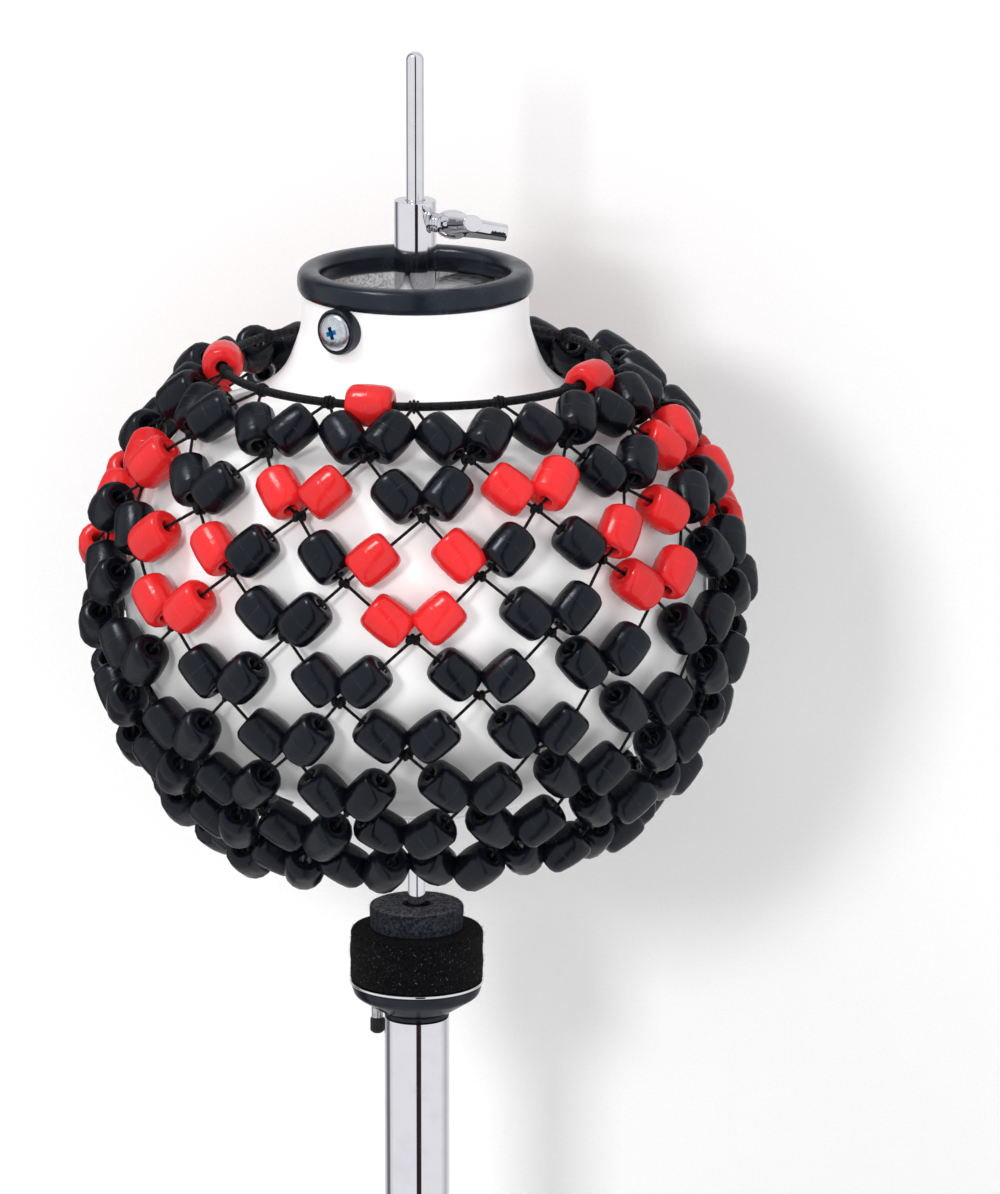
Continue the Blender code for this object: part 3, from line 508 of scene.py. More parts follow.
def moulded(name, colour, low, high, gloss, edge_gloss=None):
    """Moulded plastic with faint flow waves, handling marks and dust."""
    made, tree, shader = finish(name, Specular_IOR_Level=gloss)
    # Painted shade: with an edge gloss the edges reflect less, so they look dark.
    if edge_gloss is not None:
        glancing(tree, shader, 0.25, 0.75, gloss, edge_gloss)
    marks = effect(tree, "marks", Size=110.0)
    pale = toned(colour, 1.5, 0.004)
    shade = blend_colour(tree, times(tree, marks["Smudge"], 0.6), full(colour), pale)
    shade = blend_colour(tree, times(tree, marks["Dust"], 0.4), shade, (0.20, 0.20, 0.21, 1.0))
    coat(tree, shader, shade, ramp(tree, marks["Smudge"], 0.0, 1.0, low, high))
    waved(tree, shader, 120.0, 1800.0, 0.15, 0.00012, 0.6)
    return made


materials_made = {}


def material(name):
    """A finish by name, made the first time it is asked for."""
    if name in materials_made:
        return materials_made[name]
    shell = bpy.context.scene.shaker_shell
    net = bpy.context.scene.shaker_net
    stand = bpy.context.scene.shaker_stand
    makers = {
        "gelcoat": lambda: gelcoat(tuple(shell.colour)),
        "glass_mat": glass_mat,
        "rubber": lambda: rubber(tuple(shell.rubber)),
        "bead_black": lambda: bead_plastic("bead_black", tuple(net.black), 0.27, 0.17, (0.84, 0.92, 1.0)),
        "bead_red": lambda: bead_plastic("bead_red", tuple(net.red), 0.38, 0.13, (1.0, 1.0, 1.0)),
        "net_cord": lambda: cord_yarn("net_cord", 0.0026, 1.0, 0.0),
        "neck_cord": lambda: cord_yarn("neck_cord", 0.0032, 2.0, 1.0),
        "chrome": chrome,
        "zinc": lambda: plated("zinc_plate", (0.60, 0.60, 0.62), 0.28, 0.48),
        "spring_steel": lambda: plated("spring_steel", (0.42, 0.42, 0.44), 0.25, 0.40),
        "screw_zinc": lambda: plated("satin_zinc", (0.68, 0.73, 0.77), 0.22, 0.34),
        "blue_zinc": lambda: plated("blue_zinc_recess", (0.05, 0.42, 0.70), 0.35, 0.50),
        "felt_black": lambda: felt_cloth("felt_black", tuple(stand.felt), tuple(stand.felt), 0.55),
        # The charcoal felt's upper face is painted lighter than its side, as if lit from above.
        "felt_grey": lambda: felt_cloth("felt_charcoal", tuple(stand.felt_top), tuple(stand.felt_face),
                                        0.30),
        "cup": lambda: moulded("cup_black", (0.004, 0.006, 0.010), 0.10, 0.20, 0.26, 0.03),
        "knob": lambda: moulded("knob_black", (0.009, 0.010, 0.011), 0.30, 0.45, 0.30),
        "nylon": lambda: moulded("grey_nylon", (0.42, 0.42, 0.43), 0.40, 0.55, 0.4),
    }
    materials_made[name] = makers[name]()
    return materials_made[name]


# Shapes
def eased(corners, spans=4):
    """A closed outline whose corners (radius, height, edge) are rounded by their edge."""
    made = []
    count = len(corners)
    for i, (r, z, edge) in enumerate(corners):
        here = Vector((r, z))
        if edge <= 0.0:
            made.append((r, z))
            continue
        into = Vector(corners[i - 1][:2]) - here
        out = Vector(corners[(i + 1) % count][:2]) - here
        half = 0.5 * into.angle(out)
        reach = min(edge / math.tan(half), 0.48 * into.length, 0.48 * out.length)
        start = here + into.normalized() * reach
        end = here + out.normalized() * reach
        for step in range(spans + 1):
            t = step / spans
            at = start * (1 - t) ** 2 + here * 2 * t * (1 - t) + end * t * t
            made.append((at.x, at.y))
    return made


def curve_through(points, spans):
    """Points along a smooth curve through an outline's points."""
    given = [points[0]] + list(points) + [points[-1]]
    made = []
    for i in range(1, len(given) - 2):
        a, b, c, d = (Vector(p) for p in given[i - 1:i + 3])
        for step in range(spans):
            t = step / spans
            bend = 2 * a - 5 * b + 4 * c - d
            swing = 3 * b - a - 3 * c + d
            at = 0.5 * (2 * b + (c - a) * t + bend * t * t + swing * t ** 3)
            made.append((at.x, at.y))
    made.append(tuple(points[-1]))
    return made


def show(name, mesh, *finishes):
    """A new object at the origin with its finishes."""
    made = bpy.data.objects.new(name, mesh)
    bpy.context.scene.collection.objects.link(made)
    for given in finishes:
        mesh.materials.append(material(given))
    return made


def helper(name, mesh):
    """A hidden object for a tree to set out or for a hole to be cut with."""
    made = show(name, mesh)
    made.hide_render = True
    made.hide_viewport = True
    return made


def soften(mesh, degrees):
    """Shade a mesh smoothly, with edges sharper than an angle left crisp."""
    mesh.polygons.foreach_set("use_smooth", [True] * len(mesh.polygons))
    mesh.set_sharp_from_angle(angle=math.radians(degrees))


def mesh_of(work, name):
    """A mesh of a finished body, its faces turned outward."""
    bmesh.ops.recalc_face_normals(work, faces=work.faces)
    mesh = bpy.data.meshes.new(name)
    work.to_mesh(mesh)
    work.free()
    return mesh


def skin(work, rings):
    """Close a row of rings of points: a face at each end and faces of four sides between."""
    made = [work.faces.new(rings[0]), work.faces.new(rings[-1])]
    count = len(rings[0])
    for first, second in zip(rings, rings[1:]):
        for k in range(count):
            after = (k + 1) % count
            made.append(work.faces.new((first[k], first[after], second[after], second[k])))
    return made


def turned_mesh(name, outline, steps=96, closed=True, place=None, faces_of=None, mapped=False):
    """Turn an outline of (radius, height) about Z. A point on the line makes a pole."""
    work = bmesh.new()
    around = [(math.cos(TAU * i / steps), math.sin(TAU * i / steps)) for i in range(steps)]
    rings = []
    for r, z in outline:
        if r < ON_AXIS:
            rings.append([work.verts.new((0.0, 0.0, z))])
        else:
            rings.append([work.verts.new((r * c, r * s, z)) for c, s in around])
    uv = work.loops.layers.uv.new("UVMap") if mapped else None
    following = outline[1:] + outline[:1]
    pairs = list(zip(rings, rings[1:])) + ([(rings[-1], rings[0])] if closed else [])
    for k, (first, second) in enumerate(pairs):
        for i in range(steps):
            j = (i + 1) % steps
            ring = [first[i % len(first)], first[j % len(first)]]
            ring += [second[j % len(second)], second[i % len(second)]]
            corners = [v for n, v in enumerate(ring) if v not in ring[:n]]
            if len(corners) < 3:
                continue
            face = work.faces.new(corners)
            face.smooth = True
            if faces_of:
                face.material_index = faces_of[k]
            if uv:
                across = (i / steps, (i + 1) / steps, (i + 1) / steps, i / steps)
                heights = (outline[k][1], outline[k][1], following[k][1], following[k][1])
                shares = dict(zip(ring, zip(across, heights)))
                for loop in face.loops:
                    loop[uv].uv = shares[loop.vert]
    mesh = mesh_of(work, name)
    if place is not None:
        mesh.transform(place)
    mesh.set_sharp_from_angle(angle=TURNED_SHARP)
    return mesh


def bush(outer, inner, low, high, edge, inner_edge=0.0002):
    """Outline of a bush or washer with its outer and inner edges rounded."""
    return eased([(outer, high, edge), (outer, low, edge), (inner, low, inner_edge),
                  (inner, high, inner_edge)])


def radial(angle, z):
    """Frame whose Z axis points outward at an angle from the front, counted to the right."""
    out = Vector((math.sin(angle), -math.cos(angle), 0.0))
    made = Matrix((UP.cross(out), UP, out)).transposed().to_4x4()
    made.translation = Vector((0.0, 0.0, z))
    return made


def applied(obj):
    """Replace an object's mesh by what its modifiers make of it."""
    bpy.context.view_layer.update()
    graph = bpy.context.evaluated_depsgraph_get()
    mesh = bpy.data.meshes.new_from_object(obj.evaluated_get(graph), preserve_all_data_layers=True,
                                           depsgraph=graph)
    obj.modifiers.clear()
    old = obj.data
    obj.data = mesh
    mesh.name = obj.name
    bpy.data.meshes.remove(old)
    return obj


def carve(obj, tool):
    """Cut a helper body out of an object, then remove the helper."""
    mod = obj.modifiers.new("carve", "BOOLEAN")
    mod.operation = "DIFFERENCE"
    mod.solver = "EXACT"
    mod.material_mode = "TRANSFER"
    mod.object = tool
    applied(obj)
    bpy.data.objects.remove(tool, do_unlink=True)


def drill(obj, radius, high, low, steps, place=None):
    """Cut a round hole through an object, between two heights of a frame."""
    outline = [(0.0, high), (radius, high), (radius, low), (0.0, low)]
    carve(obj, helper("way", turned_mesh("way", outline, steps, closed=False, place=place)))


def bevelled(obj, width, segments, degrees):
    """Round an object's edges that are sharper than an angle."""
    edge = obj.modifiers.new("edges", "BEVEL")
    edge.width = width
    edge.segments = segments
    edge.limit_method = "ANGLE"
    edge.angle_limit = math.radians(degrees)
    applied(obj)


def join_second(mesh, extra):
    """Add another mesh to a mesh, in its second finish."""
    both = bmesh.new()
    both.from_mesh(extra)
    for face in both.faces:
        face.material_index = 1
    both.from_mesh(mesh)
    both.to_mesh(mesh)
    both.free()


def seat_piece(obj, body, slot, *nodes):
    """Ride a finished piece on its body in place of its CAD nodes."""
    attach(obj, body)
    if nodes:
        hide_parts(*nodes)
    return obj


# Geometry Nodes trees
def new_tree(name, inputs):
    """A geometry tree with its in and out nodes."""
    tree = bpy.data.node_groups.new(name, "GeometryNodeTree")
    tree.interface.new_socket("Geometry", in_out="INPUT", socket_type="NodeSocketGeometry")
    for label, kind in inputs.items():
        tree.interface.new_socket(label, in_out="INPUT", socket_type=kind)
    tree.interface.new_socket("Geometry", in_out="OUTPUT", socket_type="NodeSocketGeometry")
    return tree, tree.nodes.new("NodeGroupInput"), tree.nodes.new("NodeGroupOutput")


def close_tree(tree, geometry, material_socket, out):
    """End a tree in Realize Instances and Set Material."""
    real = put(tree, "GeometryNodeRealizeInstances", None, Geometry=geometry)
    painted = put(tree, "GeometryNodeSetMaterial", None, Geometry=real.outputs[0], Material=material_socket)
    tree.links.new(painted.outputs[0], out.inputs[0])


def named(tree, label, kind):
    """A named attribute's value."""
    node = put(tree, "GeometryNodeInputNamedAttribute", {"data_type": kind}, Name=label)
    return next(s for s in node.outputs if s.enabled and s.name == "Attribute")


def strung_tree():
    """Sets a piece on every point of one kind, along the point's direction and turned by its roll."""
    tree, given, out = new_tree("strung_pieces", {"Piece": "NodeSocketObject", "Kind": "NodeSocketInt",
                                                  "Material": "NodeSocketMaterial"})
    same = put(tree, "FunctionNodeCompare", {"data_type": "INT", "operation": "EQUAL"})
    tree.links.new(named(tree, "kind", "INT"), same.inputs[2])
    tree.links.new(given.outputs["Kind"], same.inputs[3])
    piece = put(tree, "GeometryNodeObjectInfo", None, Object=given.outputs["Piece"])
    lined = put(tree, "FunctionNodeAlignRotationToVector", {"axis": "Z"},
                Vector=named(tree, "along", "FLOAT_VECTOR"))
    roll = put(tree, "FunctionNodeAxisAngleToRotation", None, Axis=(0.0, 0.0, 1.0),
               Angle=named(tree, "roll", "FLOAT"))
    spun = put(tree, "FunctionNodeRotateRotation", {"rotation_space": "LOCAL"}, Rotation=lined.outputs[0],
               Rotate_By=roll.outputs[0])
    placed = put(tree, "GeometryNodeInstanceOnPoints", None, Points=given.outputs["Geometry"],
                 Selection=same.outputs[0], Instance=piece.outputs["Geometry"], Rotation=spun.outputs[0],
                 Scale=named(tree, "size", "FLOAT"))
    close_tree(tree, placed.outputs[0], given.outputs["Material"], out)
    return tree


def path_tree():
    """Runs a round cord or wire along the edges of a line mesh and keeps its length and round."""
    tree, given, out = new_tree("run_along", {"Radius": "NodeSocketFloat", "Sides": "NodeSocketInt",
                                              "Material": "NodeSocketMaterial"})
    line = put(tree, "GeometryNodeMeshToCurve", None, Mesh=given.outputs["Geometry"])
    measure = put(tree, "GeometryNodeSplineParameter")
    run = put(tree, "GeometryNodeStoreNamedAttribute", {"data_type": "FLOAT", "domain": "POINT"},
              Geometry=line.outputs[0], Name="cord_along", Value=measure.outputs["Length"])
    section = put(tree, "GeometryNodeCurvePrimitiveCircle", None, Resolution=given.outputs["Sides"],
                  Radius=given.outputs["Radius"])
    share = put(tree, "GeometryNodeSplineParameter")
    edge = put(tree, "GeometryNodeStoreNamedAttribute", {"data_type": "FLOAT", "domain": "POINT"},
               Geometry=section.outputs[0], Name="cord_round", Value=share.outputs["Factor"])
    tube = put(tree, "GeometryNodeCurveToMesh", None, Curve=run.outputs[0], Profile_Curve=edge.outputs[0],
               Fill_Caps=True)
    smooth = put(tree, "GeometryNodeSetShadeSmooth", None, Geometry=tube.outputs[0])
    close_tree(tree, smooth.outputs[0], given.outputs["Material"], out)
    return tree


def fibre_tree():
    """Stands short fibres on a felt's skin."""
    tree, given, out = new_tree("felt_fuzz", {"Piece": "NodeSocketObject", "Density": "NodeSocketFloat",
                                              "Seed": "NodeSocketInt", "Material": "NodeSocketMaterial"})
    spread = put(tree, "GeometryNodeDistributePointsOnFaces", None, Mesh=given.outputs["Geometry"],
                 Density=given.outputs["Density"], Seed=given.outputs["Seed"])
    piece = put(tree, "GeometryNodeObjectInfo", None, Object=given.outputs["Piece"])
    lean = put(tree, "FunctionNodeRandomValue", {"data_type": "FLOAT_VECTOR"}, Seed=given.outputs["Seed"])
    lean.inputs[0].default_value = (-1.2, -1.2, 0.0)
    lean.inputs[1].default_value = (1.2, 1.2, TAU)
    tall = put(tree, "FunctionNodeRandomValue", {"data_type": "FLOAT"}, Seed=given.outputs["Seed"])
    tall.inputs[2].default_value = 0.5
    tall.inputs[3].default_value = 1.3
    turned = put(tree, "FunctionNodeRotateRotation", {"rotation_space": "LOCAL"},
                 Rotation=spread.outputs["Rotation"], Rotate_By=lean.outputs[0])
    placed = put(tree, "GeometryNodeInstanceOnPoints", None, Points=spread.outputs["Points"],
                 Instance=piece.outputs["Geometry"], Rotation=turned.outputs[0], Scale=tall.outputs[1])
    close_tree(tree, placed.outputs[0], given.outputs["Material"], out)
    return tree


trees_made = {}


def grow(obj, maker, **values):
    """Run a tree on an object and keep the mesh it makes."""
    if maker not in trees_made:
        trees_made[maker] = maker()
    mod = obj.modifiers.new("grow", "NODES")
    mod.node_group = trees_made[maker]
    for item in mod.node_group.interface.items_tree:
        if item.item_type == "SOCKET" and item.in_out == "INPUT" and item.name in values:
            mod[item.identifier] = values[item.name]
    obj.update_tag()
    return applied(obj)


# The net's rule
class NetRule:
    """Where the net's knots, strands and beads lie."""

    def __init__(self, net, shell):
        self.net = net
        self.step = TAU / net.knots
        self.wide = shell.radius + net.bead + net.clear
        self.over = shell.upper + net.bead + net.clear
        self.under = shell.lower + net.sag
        self.middle = shell.middle
        self.levels = [net.start]
        for row in range(net.rows):
            self.levels.append(self.next_level(row, self.levels[-1]))
        chance = random.Random(NET_SEED)
        self.stray = {}
        for level in range(1, net.rows + 1):
            for number in range(2 * net.knots):
                self.stray[level, number] = (chance.gauss(0.0, net.loose), chance.gauss(0.0, net.loose))

    def point(self, angle, rise):
        """A point of the surface that the bead centres lie on."""
        tall = self.over if rise > 0 else self.under
        r = self.wide * math.cos(rise)
        return Vector((r * math.sin(angle), -r * math.cos(angle), self.middle + tall * math.sin(rise)))

    def next_level(self, row, rise):
        """The ring of knots one strand further down; the belly's strands hang longer."""
        strand = self.net.strand * (1.0 + self.net.give * math.sin(math.pi * row / (self.net.rows - 1)))
        furthest = 0.6
        halvings = 40
        low = rise - furthest
        high = rise
        for _ in range(halvings):
            middle = 0.5 * (low + high)
            if (self.point(0.0, rise) - self.point(self.step * 0.5, middle)).length > strand:
                low = middle
            else:
                high = middle
        return 0.5 * (low + high)

    def knot_place(self, level, at):
        """Angle and rise of a knot that strays, slips and hangs; the neck cord's ring stays even."""
        angle = at * self.step
        rise = self.levels[level]
        if level == 0:
            return angle, rise
        off = self.stray[level, round(2.0 * at) % (2 * self.net.knots)]
        share = min(1.0, level / 2.0)
        slip = self.net.twist * math.sin(rise) - self.net.gather * math.sin(angle)
        drop = self.net.lean * math.sin(angle) * math.cos(max(rise, 0.0))
        return angle + off[0] + share * slip, rise + off[1] + share * drop

    def knot(self, level, at):
        """A knot, counted in steps round its ring."""
        return self.point(*self.knot_place(level, at))

    def strands(self):
        """Every strand as its row and the places of its upper and its lower knot."""
        made = []
        for row in range(1, self.net.rows + 1):
            shift = 0.5 * ((row - 1) % 2)
            for strand in range(2 * self.net.knots):
                valley = strand // 2 + shift + 0.5
                peak = valley - 0.5 if strand % 2 == 0 else valley + 0.5
                made.append((row, peak, valley))
        return made

    def on_strand(self, row, peak, valley, share):
        """A point on a strand, at a share of its length, on the net's surface."""
        top = self.knot_place(row - 1, peak)
        end = self.knot_place(row, valley)
        return self.point(*(a + (b - a) * share for a, b in zip(top, end)))


class Bead:
    """A bead as three balls on its axis, so that beads can push each other aside."""

    def __init__(self, centre, axis, kind, fixed=False):
        self.centre = centre
        self.axis = axis
        self.home = centre.copy()
        self.home_axis = axis.copy()
        self.kind = kind
        self.fixed = fixed

    def balls(self, reach):
        """The three balls' places."""
        return self.centre - self.axis * reach, self.centre, self.centre + self.axis * reach

    def push(self, ball, way, reach):
        """Move the bead by one of its balls: it shifts, and turns a little about its middle."""
        if self.fixed:
            return
        self.centre = self.centre + way
        turn = way - self.axis * way.dot(self.axis)
        turn_share = 0.35
        self.axis = (self.axis + turn * ((ball - 1) * turn_share / reach)).normalized()


def settle(beads, net, shell, rounds=60):
    """Let the beads push each other aside, off the shell and back toward their strands."""
    homing = 0.05
    straightening = 0.20
    pushing = 0.25
    nearby = 0.034
    end_width = net.bead * 0.86
    reach = 0.36 * 0.5 * net.bead_long
    widths = (end_width, net.bead, end_width)
    near = [(a, b) for i, a in enumerate(beads) for b in beads[:i] if (a.centre - b.centre).length < nearby]
    middle = Vector((0.0, 0.0, shell.middle))
    room = net.bead * 0.98 + net.clear
    for _ in range(rounds):
        for bead in beads:
            if not bead.fixed:
                bead.centre = bead.centre.lerp(bead.home, homing)
                bead.axis = bead.axis.lerp(bead.home_axis, straightening).normalized()
        for a, b in near:
            if (a.centre - b.centre).length > 2.0 * (reach + net.bead):
                continue
            for i, ball in enumerate(a.balls(reach)):
                for j, other in enumerate(b.balls(reach)):
                    apart = ball - other
                    short = widths[i] + widths[j] - apart.length
                    if short > 0.0:
                        way = apart.normalized() * (pushing * short)
                        a.push(i, way, reach)
                        b.push(j, -way, reach)
        for bead in beads:
            at = bead.centre - middle
            tall = shell.upper if at.z > 0 else shell.lower
            depth = math.hypot(math.hypot(at.x, at.y) / (shell.radius + room), at.z / (tall + room))
            if depth < 1.0 and not bead.fixed:
                bead.centre = middle + at / depth


def is_red(row, peak, valley):
    """The zigzag: red pairs on every second knot of rows two, three and four."""
    if row == 2:
        return round(valley) % 2 == 1
    if row == 3:
        return round(peak) % 2 == 0
    if row == 4:
        return round(valley) % 2 == 0
    return False


def point_mesh(name, points):
    """A mesh of loose points that carry kind, direction, roll, size and tone."""
    mesh = bpy.data.meshes.new(name)
    mesh.from_pydata([p["at"] for p in points], [], [])
    layers = {"kind": ("INT", "value"), "roll": ("FLOAT", "value"), "size": ("FLOAT", "value"),
              "own_tone": ("FLOAT", "value"), "along": ("FLOAT_VECTOR", "vector")}
    for label, (kind, field) in layers.items():
        layer = mesh.attributes.new(label, kind, "POINT")
        for item, point in zip(layer.data, points):
            setattr(item, field, point[label])
    return mesh


def line_mesh(name, lines, closed=False):
    """A mesh of edges only, one chain for each line of points."""
    mesh = bpy.data.meshes.new(name)
    points = []
    edges = []
    for line in lines:
        base = len(points)
        points += line
        edges += [(base + i, base + i + 1) for i in range(len(line) - 1)]
        if closed:
            edges.append((base + len(line) - 1, base))
    mesh.from_pydata(points, edges, [])
    return mesh


def bead_mesh(net, steps=16):
    """One barrel bead with rounded ends and its bore."""
    half = 0.5 * net.bead_long
    straight = 0.60
    shoulder = net.bead * 0.965
    side = [(net.bore, straight), (net.bore, 0.955), (net.bore + 0.0004, 1.0)]
    for degrees in (0, 24, 46, 68, 90):
        turn = math.radians(degrees)
        side.append((net.bead_end + (shoulder - net.bead_end) * math.sin(turn),
                     straight + (1.0 - straight) * math.cos(turn)))
    side.append((net.bead, 0.16))
    outline = [(r, half * z) for r, z in side] + [(r, -half * z) for r, z in side[::-1]]
    mesh = turned_mesh("bead", outline, steps, mapped=True)
    for layer in mesh.uv_layers:
        for item in layer.data:
            item.uv.y = 0.5 + item.uv.y / net.bead_long
    mesh.set_sharp_from_angle(angle=math.radians(60.0))
    return mesh


def knot_mesh(net):
    """A small overhand knot of the net's cord."""
    count = 22
    sides = 5
    second_turn = 0.9
    broad = 0.56
    tall = 0.62
    tube = net.knot * 0.32
    reach = net.knot - tube
    path = []
    for i in range(count):
        t = TAU * i / count
        x = reach * (math.sin(t) + second_turn * math.sin(2 * t)) * broad
        y = reach * (math.cos(t) - second_turn * math.cos(2 * t)) * broad
        path.append(Vector((x, y, -reach * math.sin(3 * t) * tall)))
    around = [(math.cos(TAU * k / sides), math.sin(TAU * k / sides)) for k in range(sides)]
    work = bmesh.new()
    rings = []
    side = None
    for i in range(count):
        along = (path[(i + 1) % count] - path[i - 1]).normalized()
        side = along.orthogonal() if side is None else side - along * side.dot(along)
        side.normalize()
        other = along.cross(side)
        rings.append([work.verts.new(path[i] + (side * c + other * s) * tube) for c, s in around])
    for i, first in enumerate(rings):
        second = rings[(i + 1) % count]
        if i == count - 1:
            gaps = [sum((first[k].co - second[(k + shift) % sides].co).length for k in range(sides))
                    for shift in range(sides)]
            best = gaps.index(min(gaps))
            second = second[best:] + second[:best]
        for k in range(sides):
            after = (k + 1) % sides
            face = work.faces.new((first[k], first[after], second[after], second[k]))
            face.smooth = True
    return mesh_of(work, "net_knot")


def hitch_mesh(net):
    """A cord hitched round the neck cord: three wraps along Z, the middle one over the others."""
    spans = 6
    inner = net.neck_cord * 0.85
    half = net.cord * 1.15
    outline = []
    for wrap, proud in ((-1, 1.7), (0, 2.3), (1, 1.7)):
        for i in range(spans + 1):
            turn = math.pi * i / spans
            out = net.cord * proud * math.sin(turn)
            outline.append((inner + out, 2.0 * wrap * half - half * math.cos(turn)))
    return turned_mesh("net_hitch", outline, 10)


class SHAKER_OT_stage(bpy.types.Operator):
    """Set the camera, the lamps, the pale floor and the backdrop."""
    bl_idname = "shaker.stage"
    bl_label = "Stage"

    def execute(self, context):
        scene = context.scene
        stage = scene.shaker_stage
        scene.view_settings.view_transform = "Standard"
        self.camera(scene, stage)
        key = self.lamp(scene, "key_lamp", (-0.66, -2.10, 0.98), 0.33, stage.key)
        key.visible_glossy = False
        self.lamp(scene, "top_lamp", (-0.70, -0.35, 1.75), 0.40, stage.fill)
        low = self.lamp(scene, "low_lamp", (0.80, -1.80, 0.00), 2.0, stage.low)
        low.visible_glossy = False
        self.room(scene, stage)
        self.pass_over(low, self.backdrop(scene))
        return {"FINISHED"}

    def camera(self, scene, stage):
        """The camera, in front of the part and a little over it."""
        eye = bpy.data.cameras.new("photo_camera")
        eye.lens = stage.lens
        eye.sensor_width = 36.0
        eye.clip_end = 30.0
        camera = bpy.data.objects.new("photo_camera", eye)
        scene.collection.objects.link(camera)
        back = Vector((0.0, -math.cos(stage.tilt), math.sin(stage.tilt)))
        camera.location = Vector(stage.aim) + back * stage.away
        camera.rotation_euler = (-back).to_track_quat("-Z", "Y").to_euler()
        scene.camera = camera

    def lamp(self, scene, name, place, size, power):
        """A square soft lamp turned to the shell."""
        light = bpy.data.lights.new(name, "AREA")
        light.shape = "SQUARE"
        light.size = size
        light.energy = power
        lamp = bpy.data.objects.new(name, light)
        scene.collection.objects.link(lamp)
        lamp.location = place
        lamp.rotation_euler = (LAMP_AIM - Vector(place)).to_track_quat("-Z", "Y").to_euler()
        return lamp

    def pass_over(self, lamp, sheets):
        """Keep a lamp's light off the floor and backdrop, so that they keep their shadow."""
        unlit = bpy.data.collections.new("backdrop_unlit")
        for sheet in sheets:
            unlit.objects.link(sheet)
        for member in unlit.collection_objects:
            member.light_linking.link_state = "EXCLUDE"
        lamp.light_linking.receiver_collection = unlit

    def room(self, scene, stage):
        """A white tent with the dark slit the camera looks through, which only mirrors show."""
        slit_middle = 0.12
        slit_half = 0.13
        slit_edge = 0.17
        world = bpy.data.worlds.new("white_tent")
        scene.world = world
        world.use_nodes = True
        tree = world.node_tree
        back = tree.nodes["Background"]
        place = put(tree, "ShaderNodeTexCoord").outputs["Generated"]
        toward = put(tree, "ShaderNodeSeparateXYZ", None, Vector=place).outputs
        sideways = maths(tree, "ARCTAN2", toward["X"], times(tree, toward["Y"], -1.0))
        off_slit = maths(tree, "ABSOLUTE", maths(tree, "SUBTRACT", sideways, slit_middle))
        slit = ramp(tree, off_slit, slit_half, slit_edge, 1.0, 0.0)
        tent = blend_colour(tree, slit, (0.90, 0.90, 0.93, 1.0), (0.030, 0.020, 0.022, 1.0))
        height = ramp(tree, toward["Z"], -0.7, 0.3, 0.92, 1.0)
        ambient = times(tree, height, stage.room)
        path = put(tree, "ShaderNodeLightPath").outputs
        mirrored = maths(tree, "MAXIMUM", path["Is Glossy Ray"], path["Is Transmission Ray"])
        grey = put(tree, "ShaderNodeCombineXYZ", None, X=ambient, Y=ambient, Z=ambient).outputs[0]
        shade = blend_colour(tree, mirrored, grey, tent)
        shade = blend_colour(tree, path["Is Camera Ray"], shade, (1.0, 1.0, 1.0, 1.0))
        tree.links.new(shade, back.inputs["Color"])
        back.inputs["Strength"].default_value = 1.0

    def paper(self):
        """White paper, seen from its front alone, with two dim bands that only mirrors show."""
        made = bpy.data.materials.new("white_paper")
        made.use_nodes = True
        tree = made.node_tree
        tree.nodes.clear()
        out = tree.nodes.new("ShaderNodeOutputMaterial")
        place = place_in(tree)
        tooth = ramp(tree, noise(tree, place, 900.0, 2.0), 0.3, 0.7)
        pale = blend_colour(tree, tooth, (0.955, 0.955, 0.96, 1.0), (0.98, 0.98, 0.98, 1.0))
        matt = put(tree, "ShaderNodeBsdfDiffuse", None, Color=pale)
        across = part_of(tree, place, "X")
        left = self.band(tree, across, (-0.53, -0.30), (-0.23, -0.053))
        right = self.band(tree, across, (0.088, 0.23), (0.30, 0.53))
        dim = maths(tree, "MULTIPLY_ADD", right, 0.35, left)
        unlit = blend_colour(tree, dim, (0.80, 0.80, 0.82, 1.0), (0.17, 0.16, 0.18, 1.0))
        mirrored = put(tree, "ShaderNodeEmission", None, Color=unlit, Strength=1.0)
        path = put(tree, "ShaderNodeLightPath").outputs
        both = self.either(tree, path["Is Glossy Ray"], matt, mirrored)
        clear = tree.nodes.new("ShaderNodeBsdfTransparent")
        behind = put(tree, "ShaderNodeNewGeometry").outputs["Backfacing"]
        shown = self.either(tree, behind, both, clear)
        tree.links.new(shown.outputs[0], out.inputs["Surface"])
        return made

    def band(self, tree, across, rise, fall):
        """A soft band between the stretch where it rises and the stretch where it falls."""
        return times(tree, ramp(tree, across, *rise), ramp(tree, across, *fall, 1.0, 0.0))

    def either(self, tree, share, first, second):
        """A mix of two shaders."""
        node = put(tree, "ShaderNodeMixShader", None, Fac=share)
        tree.links.new(first.outputs[0], node.inputs[1])
        tree.links.new(second.outputs[0], node.inputs[2])
        return node

    def backdrop(self, scene):
        """A pale floor under the stand and a white sheet behind it that takes the soft shadow."""
        floor_radius = 0.15
        wide = 1.4
        depth = 0.15
        low = -0.9
        high = 1.6
        paper = self.paper()
        floor_mesh = bpy.data.meshes.new("floor")
        work = bmesh.new()
        bmesh.ops.create_circle(work, cap_ends=True, radius=floor_radius, segments=96)
        work.to_mesh(floor_mesh)
        work.free()
        floor = bpy.data.objects.new("floor", floor_mesh)
        corners = [(-wide, depth, low), (wide, depth, low), (wide, depth, high), (-wide, depth, high)]
        sheet_mesh = bpy.data.meshes.new("backdrop")
        sheet_mesh.from_pydata(corners, [], [(0, 1, 2, 3)])
        sheet = bpy.data.objects.new("backdrop", sheet_mesh)
        for made in (floor, sheet):
            made.data.materials.append(paper)
            scene.collection.objects.link(made)
        return floor, sheet


